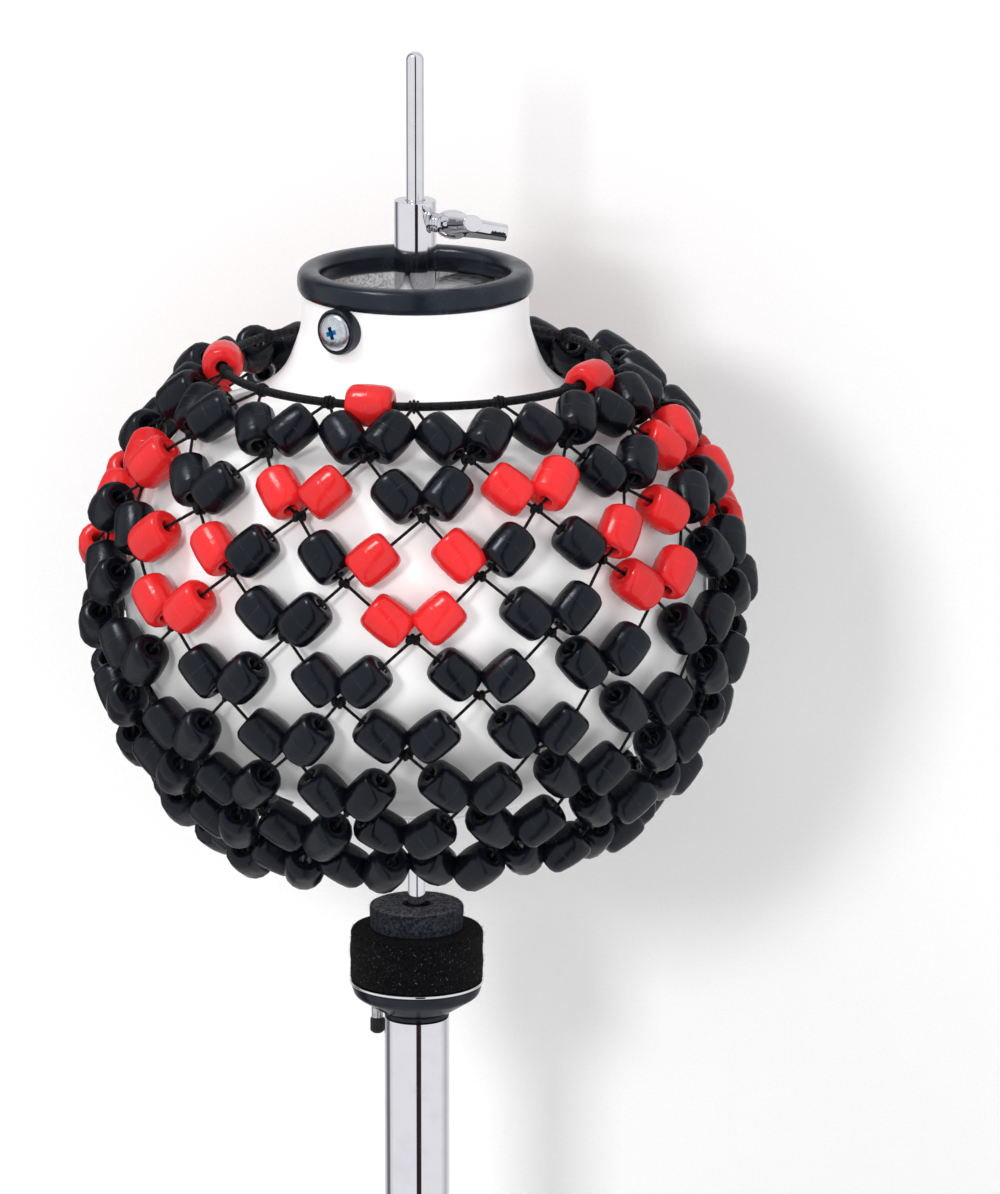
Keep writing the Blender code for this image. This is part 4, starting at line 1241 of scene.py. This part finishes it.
class SHAKER_OT_shell(bpy.types.Operator):
    """Turn the shell and its rubber rim."""
    bl_idname = "shaker.shell"
    bl_label = "Shell and rim"

    def execute(self, context):
        shell = context.scene.shaker_shell
        foot = shell.foot
        foot_in = foot - shell.wall
        foot_z = shell.middle - shell.lower * 0.886
        floor_z = foot_z + 0.0035
        inside_z = floor_z + shell.wall
        last = -math.acos((foot + 0.006) / shell.radius)
        outer = self.neck(shell, 0.0, 10) + self.belly(shell, SHOULDER, last, 0.0, 56)[1:]
        under = eased([(foot + 0.0030, floor_z - 0.0004, 0.0), (foot + 0.0004, floor_z + 0.0008, 0.0006),
                       (foot, foot_z, 0.0010), (foot_in, foot_z, 0.0010), (foot_in, floor_z, 0.0008),
                       (shell.rod_hole, floor_z, 0.0008), (shell.rod_hole, inside_z, 0.0)])
        inner_last = -math.acos((foot + 0.004) / (shell.radius - shell.wall))
        inner = [(shell.rod_hole + 0.001, inside_z)]
        inner += self.belly(shell, inner_last, SHOULDER, shell.wall, 40)[:-1]
        inner = [p for p in inner if p[1] >= inside_z]
        inner += self.neck(shell, shell.wall, 8)[::-1]
        faces_of = [0] * (len(outer) + len(under)) + [1] * len(inner)
        mesh = turned_mesh("shell_body", outer + under + inner, 160, faces_of=faces_of)
        seat_piece(show("shell_body", mesh, "gelcoat", "glass_mat"), "shaker", "shell_white", "gourd_shell")
        self.rim(shell)
        return {"FINISHED"}

    def body(self, shell, angle, inset):
        """A point of the round body."""
        tall = shell.upper if angle > 0 else shell.lower
        return (shell.radius - inset) * math.cos(angle), shell.middle + (tall - inset) * math.sin(angle)

    def belly(self, shell, first, last, inset, spans):
        """The round body from one angle to another."""
        return [self.body(shell, first + (last - first) * i / spans, inset) for i in range(spans + 1)]

    def neck(self, shell, inset, spans):
        """The neck from its edge down its flare to the shoulder."""
        start = self.body(shell, SHOULDER, inset)
        drop = shell.neck_top - start[1]
        spread = start[0] - shell.neck + inset
        r = shell.neck - inset
        z = shell.neck_top
        flare = ((0.0, 0.0), (0.0, 0.26), (0.045, 0.42), (0.19, 0.66), (0.50, 0.845))
        points = [(r + out * spread, z - down * drop) for out, down in flare]
        return curve_through(points + [start], spans)

    def rim(self, shell):
        """The rubber rim, grooved to sit on the neck's edge."""
        spans = 40
        fullness = 2.7
        middle = shell.neck - shell.wall * 0.5 - 0.0012
        groove_out = shell.neck + GAP
        groove_in = shell.neck - shell.wall - GAP
        groove_z = shell.neck_top + GAP
        first = -math.acos((groove_out - middle) / shell.rim)
        last = TAU - math.acos((groove_in - middle) / shell.rim)
        points = []
        for i in range(spans + 1):
            angle = first + (last - first) * i / spans
            c = math.cos(angle)
            s = math.sin(angle)
            fuller = (abs(c) ** fullness + abs(s) ** fullness) ** (-1.0 / fullness)
            points.append((middle + shell.rim * fuller * c, shell.neck_top + shell.rim_tall * fuller * s))
        points += [(groove_in, groove_z), (groove_out, groove_z)]
        mesh = turned_mesh("neck_rim_rubber", points, 160)
        seat_piece(show("neck_rim_rubber", mesh, "rubber"), "shaker", "rubber", "neck_rim")


class SHAKER_OT_net(bpy.types.Operator):
    """String the bead net: beads, cord, knots and the neck cord."""
    bl_idname = "shaker.net"
    bl_label = "Bead net"

    def execute(self, context):
        net = context.scene.shaker_net
        rule = NetRule(net, context.scene.shaker_shell)
        chance = random.Random(BEAD_SEED)
        strands = rule.strands()
        beads = [self.threaded(rule, net, chance, *strand) for strand in strands]
        behind = net.knots // 2
        for place in (-3.5, -0.5, 2.5, behind - 0.5, behind + 0.5):
            at = place * rule.step
            beads.append(Bead(rule.point(at, net.start), self.round_neck(at), RED, fixed=True))
        settle(beads, net, context.scene.shaker_shell)
        points = []
        for bead in beads:
            points.append(self.spot(bead.centre, bead.kind, bead.axis, chance.uniform(0.0, TAU),
                                    chance.uniform(0.975, 1.0), chance.random()))
        lines = []
        into_bead = 0.001
        for bead, (row, peak, valley) in zip(beads, strands):
            half = bead.axis * (0.5 * net.bead_long - into_bead)
            here = bead.centre
            lines.append([rule.knot(row - 1, peak), here - half, here, here + half, rule.knot(row, valley)])
        for level in range(1, net.rows + 1):
            for number in range(net.knots):
                at = rule.knot(level, number + 0.5 * (level % 2))
                points.append(self.spot(at, KNOT, UP, chance.uniform(0.0, TAU), chance.uniform(0.85, 1.15)))
        for number in range(net.knots):
            at = number * rule.step
            points.append(self.spot(rule.point(at, net.start), HITCH, self.round_neck(at),
                                    chance.uniform(0.0, TAU)))
        bead = helper("bead_shape", bead_mesh(net))
        knot = helper("knot_shape", knot_mesh(net))
        hitch = helper("hitch_shape", hitch_mesh(net))
        self.string("net_black_beads", points, bead, BLACK, "bead_black", "bead_black", *NET_ROWS)
        self.string("net_red_beads", points, bead, RED, "bead_red", "bead_red", *NECK_BEADS)
        self.string("net_knots", points, knot, KNOT, "net_cord", "cord_black")
        self.string("net_hitches", points, hitch, HITCH, "net_cord", "cord_black")
        cords = show("net_cords", line_mesh("net_cords", lines))
        grow(cords, path_tree, Radius=net.cord, Sides=7, Material=material("net_cord"))
        seat_piece(cords, "bead_net", "cord_black")
        loop_count = 12 * net.knots
        loop = [rule.point(TAU * i / loop_count, net.start) for i in range(loop_count)]
        ring = show("neck_cord_braid", line_mesh("neck_cord_braid", [loop], closed=True))
        grow(ring, path_tree, Radius=net.neck_cord, Sides=12, Material=material("neck_cord"))
        seat_piece(ring, "bead_net", "cord_black", "neck_cord")
        for made in (bead, knot, hitch):
            bpy.data.objects.remove(made, do_unlink=True)
        return {"FINISHED"}

    def round_neck(self, at):
        """The neck cord's direction at an angle."""
        return Vector((math.cos(at), math.sin(at), 0.0))

    def spot(self, at, kind, along, roll, size=1.0, tone=0.5):
        """A point for a tree to set a piece on."""
        return {"at": at, "kind": kind, "along": along, "roll": roll, "size": size, "own_tone": tone}

    def string(self, name, points, piece, kind, finish_name, slot, *nodes):
        """Set out one kind of piece and ride it on the net."""
        made = show(name, point_mesh(name, points))
        grow(made, strung_tree, Piece=piece, Kind=kind, Material=material(finish_name))
        seat_piece(made, "bead_net", slot, *nodes)

    def threaded(self, rule, net, chance, row, peak, valley):
        """A bead on its strand before the beads settle, with a little of it out of line."""
        apart = 0.2
        slide = 0.025
        over_cord = 0.0016
        proud = 0.0010
        share = net.place + chance.uniform(-slide, slide)
        upper = rule.on_strand(row, peak, valley, share - apart)
        lower = rule.on_strand(row, peak, valley, share + apart)
        middle = rule.on_strand(row, peak, valley, share)
        out = (middle - Vector((0.0, 0.0, rule.middle))).normalized()
        lift = over_cord if peak > valley else 0.0
        middle += out * (lift + chance.uniform(0.0, proud))
        return Bead(middle, (lower - upper).normalized(), RED if is_red(row, peak, valley) else BLACK)


class SHAKER_OT_clutch(bpy.types.Operator):
    """Turn the clutch's collar, sleeve, washers and nut, and bend its cross bar."""
    bl_idname = "shaker.clutch"
    bl_label = "Clutch"

    def execute(self, context):
        stand = context.scene.shaker_stand
        low, high = (corner.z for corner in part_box("clutch_collar"))
        sleeve = 0.0050
        bore = stand.rod + GAP
        socket = sleeve + GAP
        step = low + 0.005
        outline = eased([(stand.collar, high, 0.0007), (stand.collar, low, 0.0005), (socket, low, 0.0),
                         (socket, step, 0.0), (bore, step, 0.0), (bore, high, 0.0004)])
        collar = show("collar_chrome", turned_mesh("collar_chrome", outline, 96), "chrome")
        drill(collar, SCREW_WAY, 0.012, 0.0015, 32, radial(stand.wing_side, low + WING_UP))
        soften(collar.data, 28.0)
        seat_piece(collar, "shaker", "chrome", "clutch_collar")
        rings = (("clutch_sleeve", "sleeve_steel", "zinc", "zinc_steel", sleeve, stand.rod + 0.0006, 0.0003),
                 ("clutch_washer", "washer_nylon", "nylon", "nylon", 0.0066, socket, 0.0003),
                 ("clutch_nut", "nut_chrome", "chrome", "chrome", 0.0090, socket, 0.0008))
        for node, name, look, slot, outer, inner, edge in rings:
            bottom, top = (corner.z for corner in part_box(node))
            mesh = turned_mesh(name, bush(outer, inner, bottom, top, edge), 72)
            seat_piece(show(name, mesh, look), "shaker", slot, node)
        self.bar(stand)
        return {"FINISHED"}

    def bar(self, stand):
        """The bent strip that carries the shell, with rounded edges."""
        low, high = (corner.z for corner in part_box("cross_bar"))
        half = 0.03408
        thick = 0.0025
        broad = 0.0160
        bend = 0.0022
        inner_bend = 0.0012
        sleeve_way = 0.0053
        inside = half - thick
        path = eased([(-half, low, 0.0), (-half, high, bend), (half, high, bend), (half, low, 0.0),
                      (inside, low, 0.0), (inside, high - thick, inner_bend),
                      (-inside, high - thick, inner_bend), (-inside, low, 0.0)], 5)
        toward = Vector((math.sin(stand.screw_side), -math.cos(stand.screw_side), 0.0))
        side = UP.cross(toward)
        work = bmesh.new()
        face = work.faces.new([work.verts.new(toward * x + UP * z - side * (0.5 * broad)) for x, z in path])
        pushed = bmesh.ops.extrude_face_region(work, geom=[face])
        moved = [part for part in pushed["geom"] if isinstance(part, bmesh.types.BMVert)]
        bmesh.ops.translate(work, vec=side * broad, verts=moved)
        bar = show("bar_steel", mesh_of(work, "bar_steel"), "zinc")
        drill(bar, sleeve_way, high + 0.01, low, 40)
        screw_z = (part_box("neck_screw_front")[0].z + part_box("neck_screw_front")[1].z) * 0.5
        for end in (0.0, math.pi):
            drill(bar, SCREW_WAY, 0.045, 0.02, 32, radial(stand.screw_side + end, screw_z))
        bevelled(bar, 0.0004, 2, 50.0)
        soften(bar.data, 40.0)
        seat_piece(bar, "shaker", "zinc_steel", "cross_bar")


class SHAKER_OT_wing(bpy.types.Operator):
    """Cast the wing screw with its two arms and its thread."""
    bl_idname = "shaker.wing"
    bl_label = "Wing screw"

    def execute(self, context):
        stand = context.scene.shaker_stand
        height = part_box("clutch_collar")[0].z + WING_UP
        place = radial(stand.wing_side, height) @ Matrix.Rotation(stand.wing_turn, 4, "Z")
        hub = [(0.0, 0.0200), (0.0014, 0.0199), (0.0027, 0.0194), (0.0039, 0.0184), (0.0047, 0.0168),
               (0.0050, 0.0150), (0.0049, 0.0132), (0.0046, 0.0116), (0.0041, 0.0104), (0.0036, 0.0098),
               (0.0, 0.0098)]
        work = bmesh.new()
        work.from_mesh(turned_mesh("hub", hub, 48, closed=False))
        for way in (-1.0, 1.0):
            self.arm(work, way)
        wing = show("wing_chrome", mesh_of(work, "wing_chrome"), "chrome")
        cast = wing.modifiers.new("cast", "REMESH")
        cast.mode = "VOXEL"
        cast.voxel_size = 0.00030
        even = wing.modifiers.new("even", "SMOOTH")
        even.factor = 0.5
        even.iterations = 7
        applied(wing)
        wing.data.transform(place)
        join_second(wing.data, turned_mesh("thread", self.thread(), 40, closed=False, place=place))
        wing.data.materials.clear()
        wing.data.materials.append(material("chrome"))
        wing.data.materials.append(material("zinc"))
        soften(wing.data, 40.0)
        seat_piece(wing, "wing_screw", "chrome", "wing_screw")
        return {"FINISHED"}

    def thread(self):
        """Outline of the thread between the hub and the screw's end."""
        crest = 0.0033
        root = 0.0025
        pitch = 0.0010
        made = [(0.0, 0.0099), (0.0034, 0.0099)]
        for i in range(6):
            z = 0.0094 - i * pitch
            made += [(crest, z), (crest, z - 0.0001), (root, z - 0.0005), (root, z - 0.0006)]
        return made + [(0.0029, 0.0036), (0.0024, 0.0033), (0.0, 0.0033)]

    def arm(self, work, way):
        """One arm: an oval bar that leaves the hub and ends in a flat face."""
        line = [(0.0000, 0.0150), (0.0030, 0.0158), (0.0060, 0.0190), (0.0093, 0.0233), (0.0128, 0.0282)]
        broad = [0.0044, 0.0045, 0.0041, 0.0036, 0.0037]
        thick = [0.0040, 0.0038, 0.0034, 0.0031, 0.0029]
        sides = 20
        rings = []
        for i, (x, w) in enumerate(line):
            before = Vector(line[max(0, i - 1)])
            after = Vector(line[min(len(line) - 1, i + 1)])
            along = (after - before).normalized()
            across = Vector((-along.y, along.x))
            ring = []
            for k in range(sides):
                turn = TAU * k / sides
                out = across * (broad[i] * math.cos(turn))
                ring.append(work.verts.new((way * (x + out.x), thick[i] * math.sin(turn), w + out.y)))
            rings.append(ring)
        skin(work, rings)


class SHAKER_OT_fixings(bpy.types.Operator):
    """Fit the neck screws with their rubber washers and nuts."""
    bl_idname = "shaker.fixings"
    bl_label = "Neck screws"

    def execute(self, context):
        stand = context.scene.shaker_stand
        shell = context.scene.shaker_shell
        low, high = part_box("neck_screw_front")
        screw_z = 0.5 * (low.z + high.z) + 0.0010
        face = shell.neck + 0.0026
        for end, name in ((0.0, "front"), (math.pi, "rear")):
            place = radial(stand.screw_side + end, screw_z)
            self.screw(place, name, face + GAP)
            self.washer(place, name, face, shell.neck + GAP)
            self.nut(place, name)
        return {"FINISHED"}

    def washer(self, place, name, face, neck):
        """A cupped rubber washer whose back follows the neck."""
        outer = 0.0077
        cup = 0.0067
        back = 0.0345
        lip = face + 0.0014
        outline = eased([(outer, lip, 0.0007), (outer, back, 0.0), (SCREW_WAY, back, 0.0),
                         (SCREW_WAY, face, 0.0), (cup, face, 0.0), (cup, lip, 0.0003)])
        washer = show("washer_rubber_" + name, turned_mesh("washer", outline, 72, place=place), "rubber")
        drill(washer, neck, 0.4, 0.36, 160)
        soften(washer.data, 40.0)
        seat_piece(washer, "shaker", "rubber", "neck_washer_" + name)

    def screw(self, place, name, seat):
        """A pan-head screw with a cross recess."""
        tall = 0.0031
        wide = 0.0064
        side = 0.0007
        crest = 0.0030
        spans = 8
        outline = []
        for i in range(spans + 1):
            turn = 0.5 * math.pi * i / spans
            rise = (tall - side) * math.cos(turn) ** 0.8
            outline.append((wide * math.sin(turn) ** 0.85, seat + side + rise))
        outline[0] = (0.0, outline[0][1])
        outline += [(wide, seat + 0.0002), (wide - 0.0003, seat), (crest, seat)]
        z = seat - 0.0002
        while z > 0.0258:
            outline += [(crest, z), (0.0025, z - 0.0004)]
            z -= 0.0008
        outline += [(0.0024, z), (0.0, z)]
        mesh = turned_mesh("screw", outline, 64, closed=False)
        screw = show("neck_screw_chrome_" + name, mesh, "screw_zinc", "blue_zinc")
        for turned in (0.0, 0.5 * math.pi):
            slot = self.recess(wide * 0.42, seat + tall + 0.001, seat + tall - 0.0024)
            slot.transform(Matrix.Rotation(turned + 0.35, 4, "Z"))
            slot.materials.append(material("blue_zinc"))
            carve(screw, helper("recess", slot))
        screw.data.transform(place)
        soften(screw.data, 30.0)
        seat_piece(screw, "shaker", "chrome", "neck_screw_" + name)

    def recess(self, half, top, deep):
        """One of the two tapered slots of a cross recess."""
        thin = 0.00085
        corners = []
        for long, across, z in ((half, thin, top), (half * 0.45, thin * 0.7, deep)):
            corners += [(-long, -across, z), (long, -across, z), (long, across, z), (-long, across, z)]
        mesh = bpy.data.meshes.new("recess")
        mesh.from_pydata(corners, [], [(0, 1, 2, 3), (7, 6, 5, 4), (0, 4, 5, 1), (1, 5, 6, 2), (2, 6, 7, 3),
                                       (3, 7, 4, 0)])
        return mesh

    def nut(self, place, name):
        """A hexagon nut with its edges rounded."""
        outer = 0.0057
        bore = 0.00375
        face = 0.03128
        back = face - 0.0048
        hexagon = turned_mesh("hexagon", [(outer, face), (outer, back), (bore, back), (bore, face)], 6)
        nut = show("neck_nut_zinc_" + name, hexagon, "zinc")
        bevelled(nut, 0.0004, 3, 40.0)
        nut.data.transform(place)
        soften(nut.data, 40.0)
        seat_piece(nut, "shaker", "zinc_steel", "neck_nut_" + name)


class SHAKER_OT_stand(bpy.types.Operator):
    """Turn the stand's tube, seat cup, tilt plate and pull rod, and set the knurled tilt screw."""
    bl_idname = "shaker.stand"
    bl_label = "Stand top"

    def execute(self, context):
        stand = context.scene.shaker_stand
        inner = stand.tube - stand.tube_wall
        tube = turned_mesh("tube_chrome", bush(stand.tube, inner, 0.0, stand.tube_long, 0.0003, 0.0003), 128)
        seat_piece(show("tube_chrome", tube, "chrome"), "stand", "chrome", "stand_tube")
        self.cup(stand, inner)
        low, high = (corner.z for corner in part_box("tilt_plate"))
        plate = turned_mesh("plate_bright", bush(0.02305, 0.0049, low, high, 0.00045), 128)
        seat_piece(show("plate_bright", plate, "chrome"), "seat", "chrome", "tilt_plate")
        self.rod(stand)
        self.tilt_screw()
        self.inside(stand, inner)
        return {"FINISHED"}

    def rod(self, stand):
        """The pull rod with its round tip."""
        spans = 8
        edge = 0.0003
        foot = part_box("pull_rod")[0].z
        tall = stand.rod * 0.9
        outline = []
        for i in range(spans + 1):
            turn = 0.5 * math.pi * i / spans
            outline.append((stand.rod * math.sin(turn), stand.rod_top - tall + tall * math.cos(turn)))
        outline += [(stand.rod, foot + edge), (stand.rod - edge, foot), (0.0, foot)]
        rod = turned_mesh("rod_chrome", outline, 64, closed=False)
        seat_piece(show("rod_chrome", rod, "chrome"), "pull_rod", "chrome", "pull_rod")

    def cup(self, stand, inner):
        """The black cup: its neck on the tube, its bowl and its hollow."""
        low = stand.tube_long + GAP
        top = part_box("seat_cup")[1].z
        bowl_low = low + 0.0014
        bowl_high = top - 0.0006
        wall = 0.0022
        edge = 0.0003
        guide = 0.0065
        boss = bowl_low + 2.0 * wall
        plug = stand.tube_long - 0.013
        cone = eased([(stand.cup, top, 0.0), (stand.cup - 0.0010, bowl_high - 0.0032, 0.0040),
                      (stand.tube, bowl_low, 0.0008), (stand.tube, low, 0.0)], 7)
        outline = [(stand.cup - edge, top), (stand.cup, top - edge)] + cone[1:-1]
        outline += [(stand.tube, low + edge), (stand.tube - edge, low), (inner - GAP, low)]
        outline += [(inner - GAP, plug), (guide, plug), (guide, boss), (inner - 0.0006, boss)]
        outline += [(stand.tube, bowl_low + 1.2 * wall),
                    (stand.cup - wall - 0.0016, bowl_high - 0.0036 + wall), (stand.cup - wall, top)]
        cup = show("cup_moulded", turned_mesh("cup_moulded", outline, 128), "cup")
        lowest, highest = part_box("tilt_thumb_screw")
        centre = (lowest + highest) * 0.5
        drill(cup, 0.0021, 0.16, 0.12, 24, Matrix.Translation((centre.x, centre.y, 0.0)))
        soften(cup.data, 30.0)
        seat_piece(cup, "stand", "cup_black", "seat_cup")

    def tilt_screw(self):
        """The tilt screw: knurled black knob, bright shank and its collar."""
        lowest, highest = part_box("tilt_thumb_screw")
        centre = (lowest + highest) * 0.5
        bottom = lowest.z
        top = highest.z
        knob_top = bottom + 0.0056
        knob = 0.00245
        inset = 0.00004
        rib = 0.00014
        sides = 80
        heights = [(bottom, 0.62, 0.0), (bottom + 0.0003, 0.80, 0.0), (bottom + 0.0009, 0.96, 1.0),
                   (knob_top - 0.0006, 0.96, 1.0), (knob_top - 0.0001, 0.86, 0.0), (knob_top, 0.80, 0.0)]
        work = bmesh.new()
        rings = []
        for z, share, ribbed in heights:
            ring = []
            for i in range(sides):
                depth = rib * ribbed * (1.0 if i % 4 in (0, 1) else -1.0)
                r = knob * share + depth - inset
                turn = TAU * i / sides
                ring.append(work.verts.new((r * math.cos(turn), r * math.sin(turn), z)))
            rings.append(ring)
        skin(work, rings)
        mesh = mesh_of(work, "tilt_knob")
        crest = 0.0018
        collar = 0.0020
        shank = [(0.0, top), (0.0017, top), (crest, top - 0.0002)]
        z = top - 0.0004
        while z > knob_top + 0.0043:
            shank += [(crest, z), (0.0015, z - 0.0003)]
            z -= 0.0006
        shank += [(crest, knob_top + 0.0036), (collar, knob_top + 0.0034), (collar, knob_top),
                  (0.0, knob_top)]
        join_second(mesh, turned_mesh("shank", shank, 32, closed=False))
        mesh.transform(Matrix.Translation((centre.x, centre.y, 0.0)))
        soften(mesh, 35.0)
        seat_piece(show("tilt_knob", mesh, "knob", "zinc"), "tilt_screw", "cup_black", "tilt_thumb_screw")

    def inside(self, stand, inner):
        """The rod's guide, collar, coupling, spring and spring seat inside the tube."""
        edge = 0.0005
        way = stand.rod + GAP
        rings = (("rod_guide", "guide_nylon", "nylon", "nylon", "stand", 0.0062, way),
                 ("spring_collar", "collar_zinc", "zinc", "zinc_steel", "pull_rod", inner - 0.0006, way),
                 ("rod_coupling", "coupling_zinc", "zinc", "zinc_steel", "pull_rod", 0.0050, 0.0024),
                 ("spring_seat", "seat_zinc", "zinc", "zinc_steel", "stand", inner - GAP, 0.0056))
        for node, name, look, slot, body, outer, bore in rings:
            bottom, top = (corner.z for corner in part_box(node))
            outline = bush(outer, bore, bottom, top, edge)
            if node == "rod_coupling":
                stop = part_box("pull_rod")[0].z - GAP
                outline = eased([(outer, top, edge), (outer, bottom, edge), (bore, bottom, 0.0003),
                                 (bore, stop, 0.0), (way, stop, 0.0), (way, top, 0.0003)])
            seat_piece(show(name, turned_mesh(name, outline, 64), look), body, slot, node)
        low, high = (corner.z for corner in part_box("return_spring"))
        wire = 0.0008
        coil_radius = 0.0078
        turns = 7
        spans = 32
        count = turns * spans
        coil = []
        for i in range(count + 1):
            turn = TAU * i / spans
            rise = low + wire + (high - low - 2.0 * wire) * i / count
            coil.append(Vector((coil_radius * math.cos(turn), coil_radius * math.sin(turn), rise)))
        spring = show("spring_coil", line_mesh("spring_coil", [coil]))
        grow(spring, path_tree, Radius=wire, Sides=10, Material=material("spring_steel"))
        seat_piece(spring, "stand", "zinc_steel", "return_spring")
        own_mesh(spring)


class SHAKER_OT_felts(bpy.types.Operator):
    """Press the black seat felt, the charcoal top felt and the clutch felt, each with its fuzz."""
    bl_idname = "shaker.felts"
    bl_label = "Felts"

    def execute(self, context):
        strip = self.fibre()
        felts = (("seat_felt", "felt_seat", "felt_black", "felt_black", "seat", 0.0228, 0.0049, 0.0018),
                 ("top_felt", "felt_top", "felt_grey", "felt_grey", "seat", 0.0161, 0.0049, 0.0014),
                 ("clutch_felt", "felt_clutch", "felt_grey", "felt_grey", "shaker", 0.0130, 0.0053, 0.0010))
        for seed, felt in enumerate(felts):
            self.press(*felt, seed, strip)
        bpy.data.objects.remove(strip, do_unlink=True)
        return {"FINISHED"}

    def fibre(self):
        """One short bent fibre of three sides."""
        sides = 3
        bends = ((-0.0001, 0.0, 0.000028), (0.0004, 0.00008, 0.000024), (0.0008, 0.00030, 0.000012))
        around = [(math.cos(TAU * k / sides), math.sin(TAU * k / sides)) for k in range(sides)]
        work = bmesh.new()
        rings = [[work.verts.new((lean + r * c, r * s, z)) for c, s in around] for z, lean, r in bends]
        skin(work, rings)
        return helper("fibre", mesh_of(work, "fibre"))

    def press(self, node, name, look, slot, body, outer, inner, crown, seed, strip):
        """One felt washer, a little uneven, with fibres standing off its skin."""
        low, high = (corner.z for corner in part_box(node))
        mesh = turned_mesh(name, self.section(low, high, outer, inner, crown), 144)
        self.roughen(mesh, 0.5 * (outer + inner), random.Random(FELT_SEED + seed))
        felt = show(name, mesh, look)
        skin_work = bmesh.new()
        skin_work.from_mesh(mesh)
        bare = inner + 0.0012
        bore = [face for face in skin_work.faces if face.calc_center_median().xy.length < bare]
        bmesh.ops.delete(skin_work, geom=bore, context="FACES")
        outside = bpy.data.meshes.new(name + "_fuzz")
        skin_work.to_mesh(outside)
        skin_work.free()
        fuzz = show(name + "_fuzz", outside)
        grow(fuzz, fibre_tree, Piece=strip, Density=700000.0, Seed=seed + 3, Material=material(look))
        seat_piece(felt, body, slot, node)
        seat_piece(fuzz, body, slot)

    def section(self, low, high, outer, inner, crown):
        """A felt's outline with points close enough together for its skin to be uneven."""
        spacing = 0.0009
        corners = eased([(outer, high, crown), (outer, low, 0.0009), (inner, low, 0.0003),
                         (inner, high, 0.0006)], 6)
        made = []
        for (r, z), (next_r, next_z) in zip(corners, corners[1:] + corners[:1]):
            pieces = max(1, int(math.dist((r, z), (next_r, next_z)) / spacing))
            for i in range(pieces):
                t = i / pieces
                made.append((r + (next_r - r) * t, z + (next_z - z) * t))
        return made

    def roughen(self, mesh, middle, chance):
        """Make a felt's outer skin uneven, with waves round it and a grain."""
        wave = 0.00005
        grain = 0.00006
        inset = 0.00012
        waves = [(chance.randint(2, 9), chance.uniform(0.0, TAU), chance.uniform(300.0, 900.0))
                 for _ in range(6)]
        for vertex in mesh.vertices:
            angle = math.atan2(vertex.co.y, vertex.co.x)
            bulge = sum(math.sin(n * angle + start + vertex.co.z * pitch) for n, start, pitch in waves)
            inward = wave * bulge + chance.uniform(-grain, grain) - inset
            r = math.hypot(vertex.co.x, vertex.co.y)
            if r > middle:
                vertex.co.x *= 1.0 + inward / r
                vertex.co.y *= 1.0 + inward / r


class SHAKER_PT_sidebar(bpy.types.Panel):
    """The shaker's pieces in the sidebar."""
    bl_idname = "SHAKER_PT_sidebar"
    bl_label = "Bead net shaker"
    bl_space_type = "VIEW_3D"
    bl_region_type = "UI"
    bl_category = "Shaker"

    def draw(self, context):
        for operator in OPERATORS:
            self.layout.operator(operator.bl_idname)
        for group in GROUPS:
            box = self.layout.box()
            owner = getattr(context.scene, group)
            for label in owner.__annotations__:
                box.prop(owner, label)


GROUPS = {"shaker_shell": ShellSizes, "shaker_net": NetSizes, "shaker_stand": StandSizes,
          "shaker_stage": StageSizes}
OPERATORS = (SHAKER_OT_stage, SHAKER_OT_net, SHAKER_OT_shell, SHAKER_OT_clutch, SHAKER_OT_wing,
             SHAKER_OT_fixings, SHAKER_OT_stand, SHAKER_OT_felts)


def register():
    """Register the add-on's classes and its settings."""
    for name, group in GROUPS.items():
        bpy.utils.register_class(group)
        setattr(bpy.types.Scene, name, PointerProperty(type=group))
    for operator in OPERATORS:
        bpy.utils.register_class(operator)
    bpy.utils.register_class(SHAKER_PT_sidebar)


def unregister():
    """Take the add-on out again."""
    bpy.utils.unregister_class(SHAKER_PT_sidebar)
    for operator in reversed(OPERATORS):
        bpy.utils.unregister_class(operator)
    for name, group in reversed(list(GROUPS.items())):
        delattr(bpy.types.Scene, name)
        bpy.utils.unregister_class(group)


def main():
    """Make every piece in order."""
    register()
    bpy.ops.shaker.stage()
    bpy.ops.shaker.net()
    bpy.ops.shaker.shell()
    bpy.ops.shaker.clutch()
    bpy.ops.shaker.wing()
    bpy.ops.shaker.fixings()
    bpy.ops.shaker.stand()
    bpy.ops.shaker.felts()


if __name__ == "__main__":
    main()
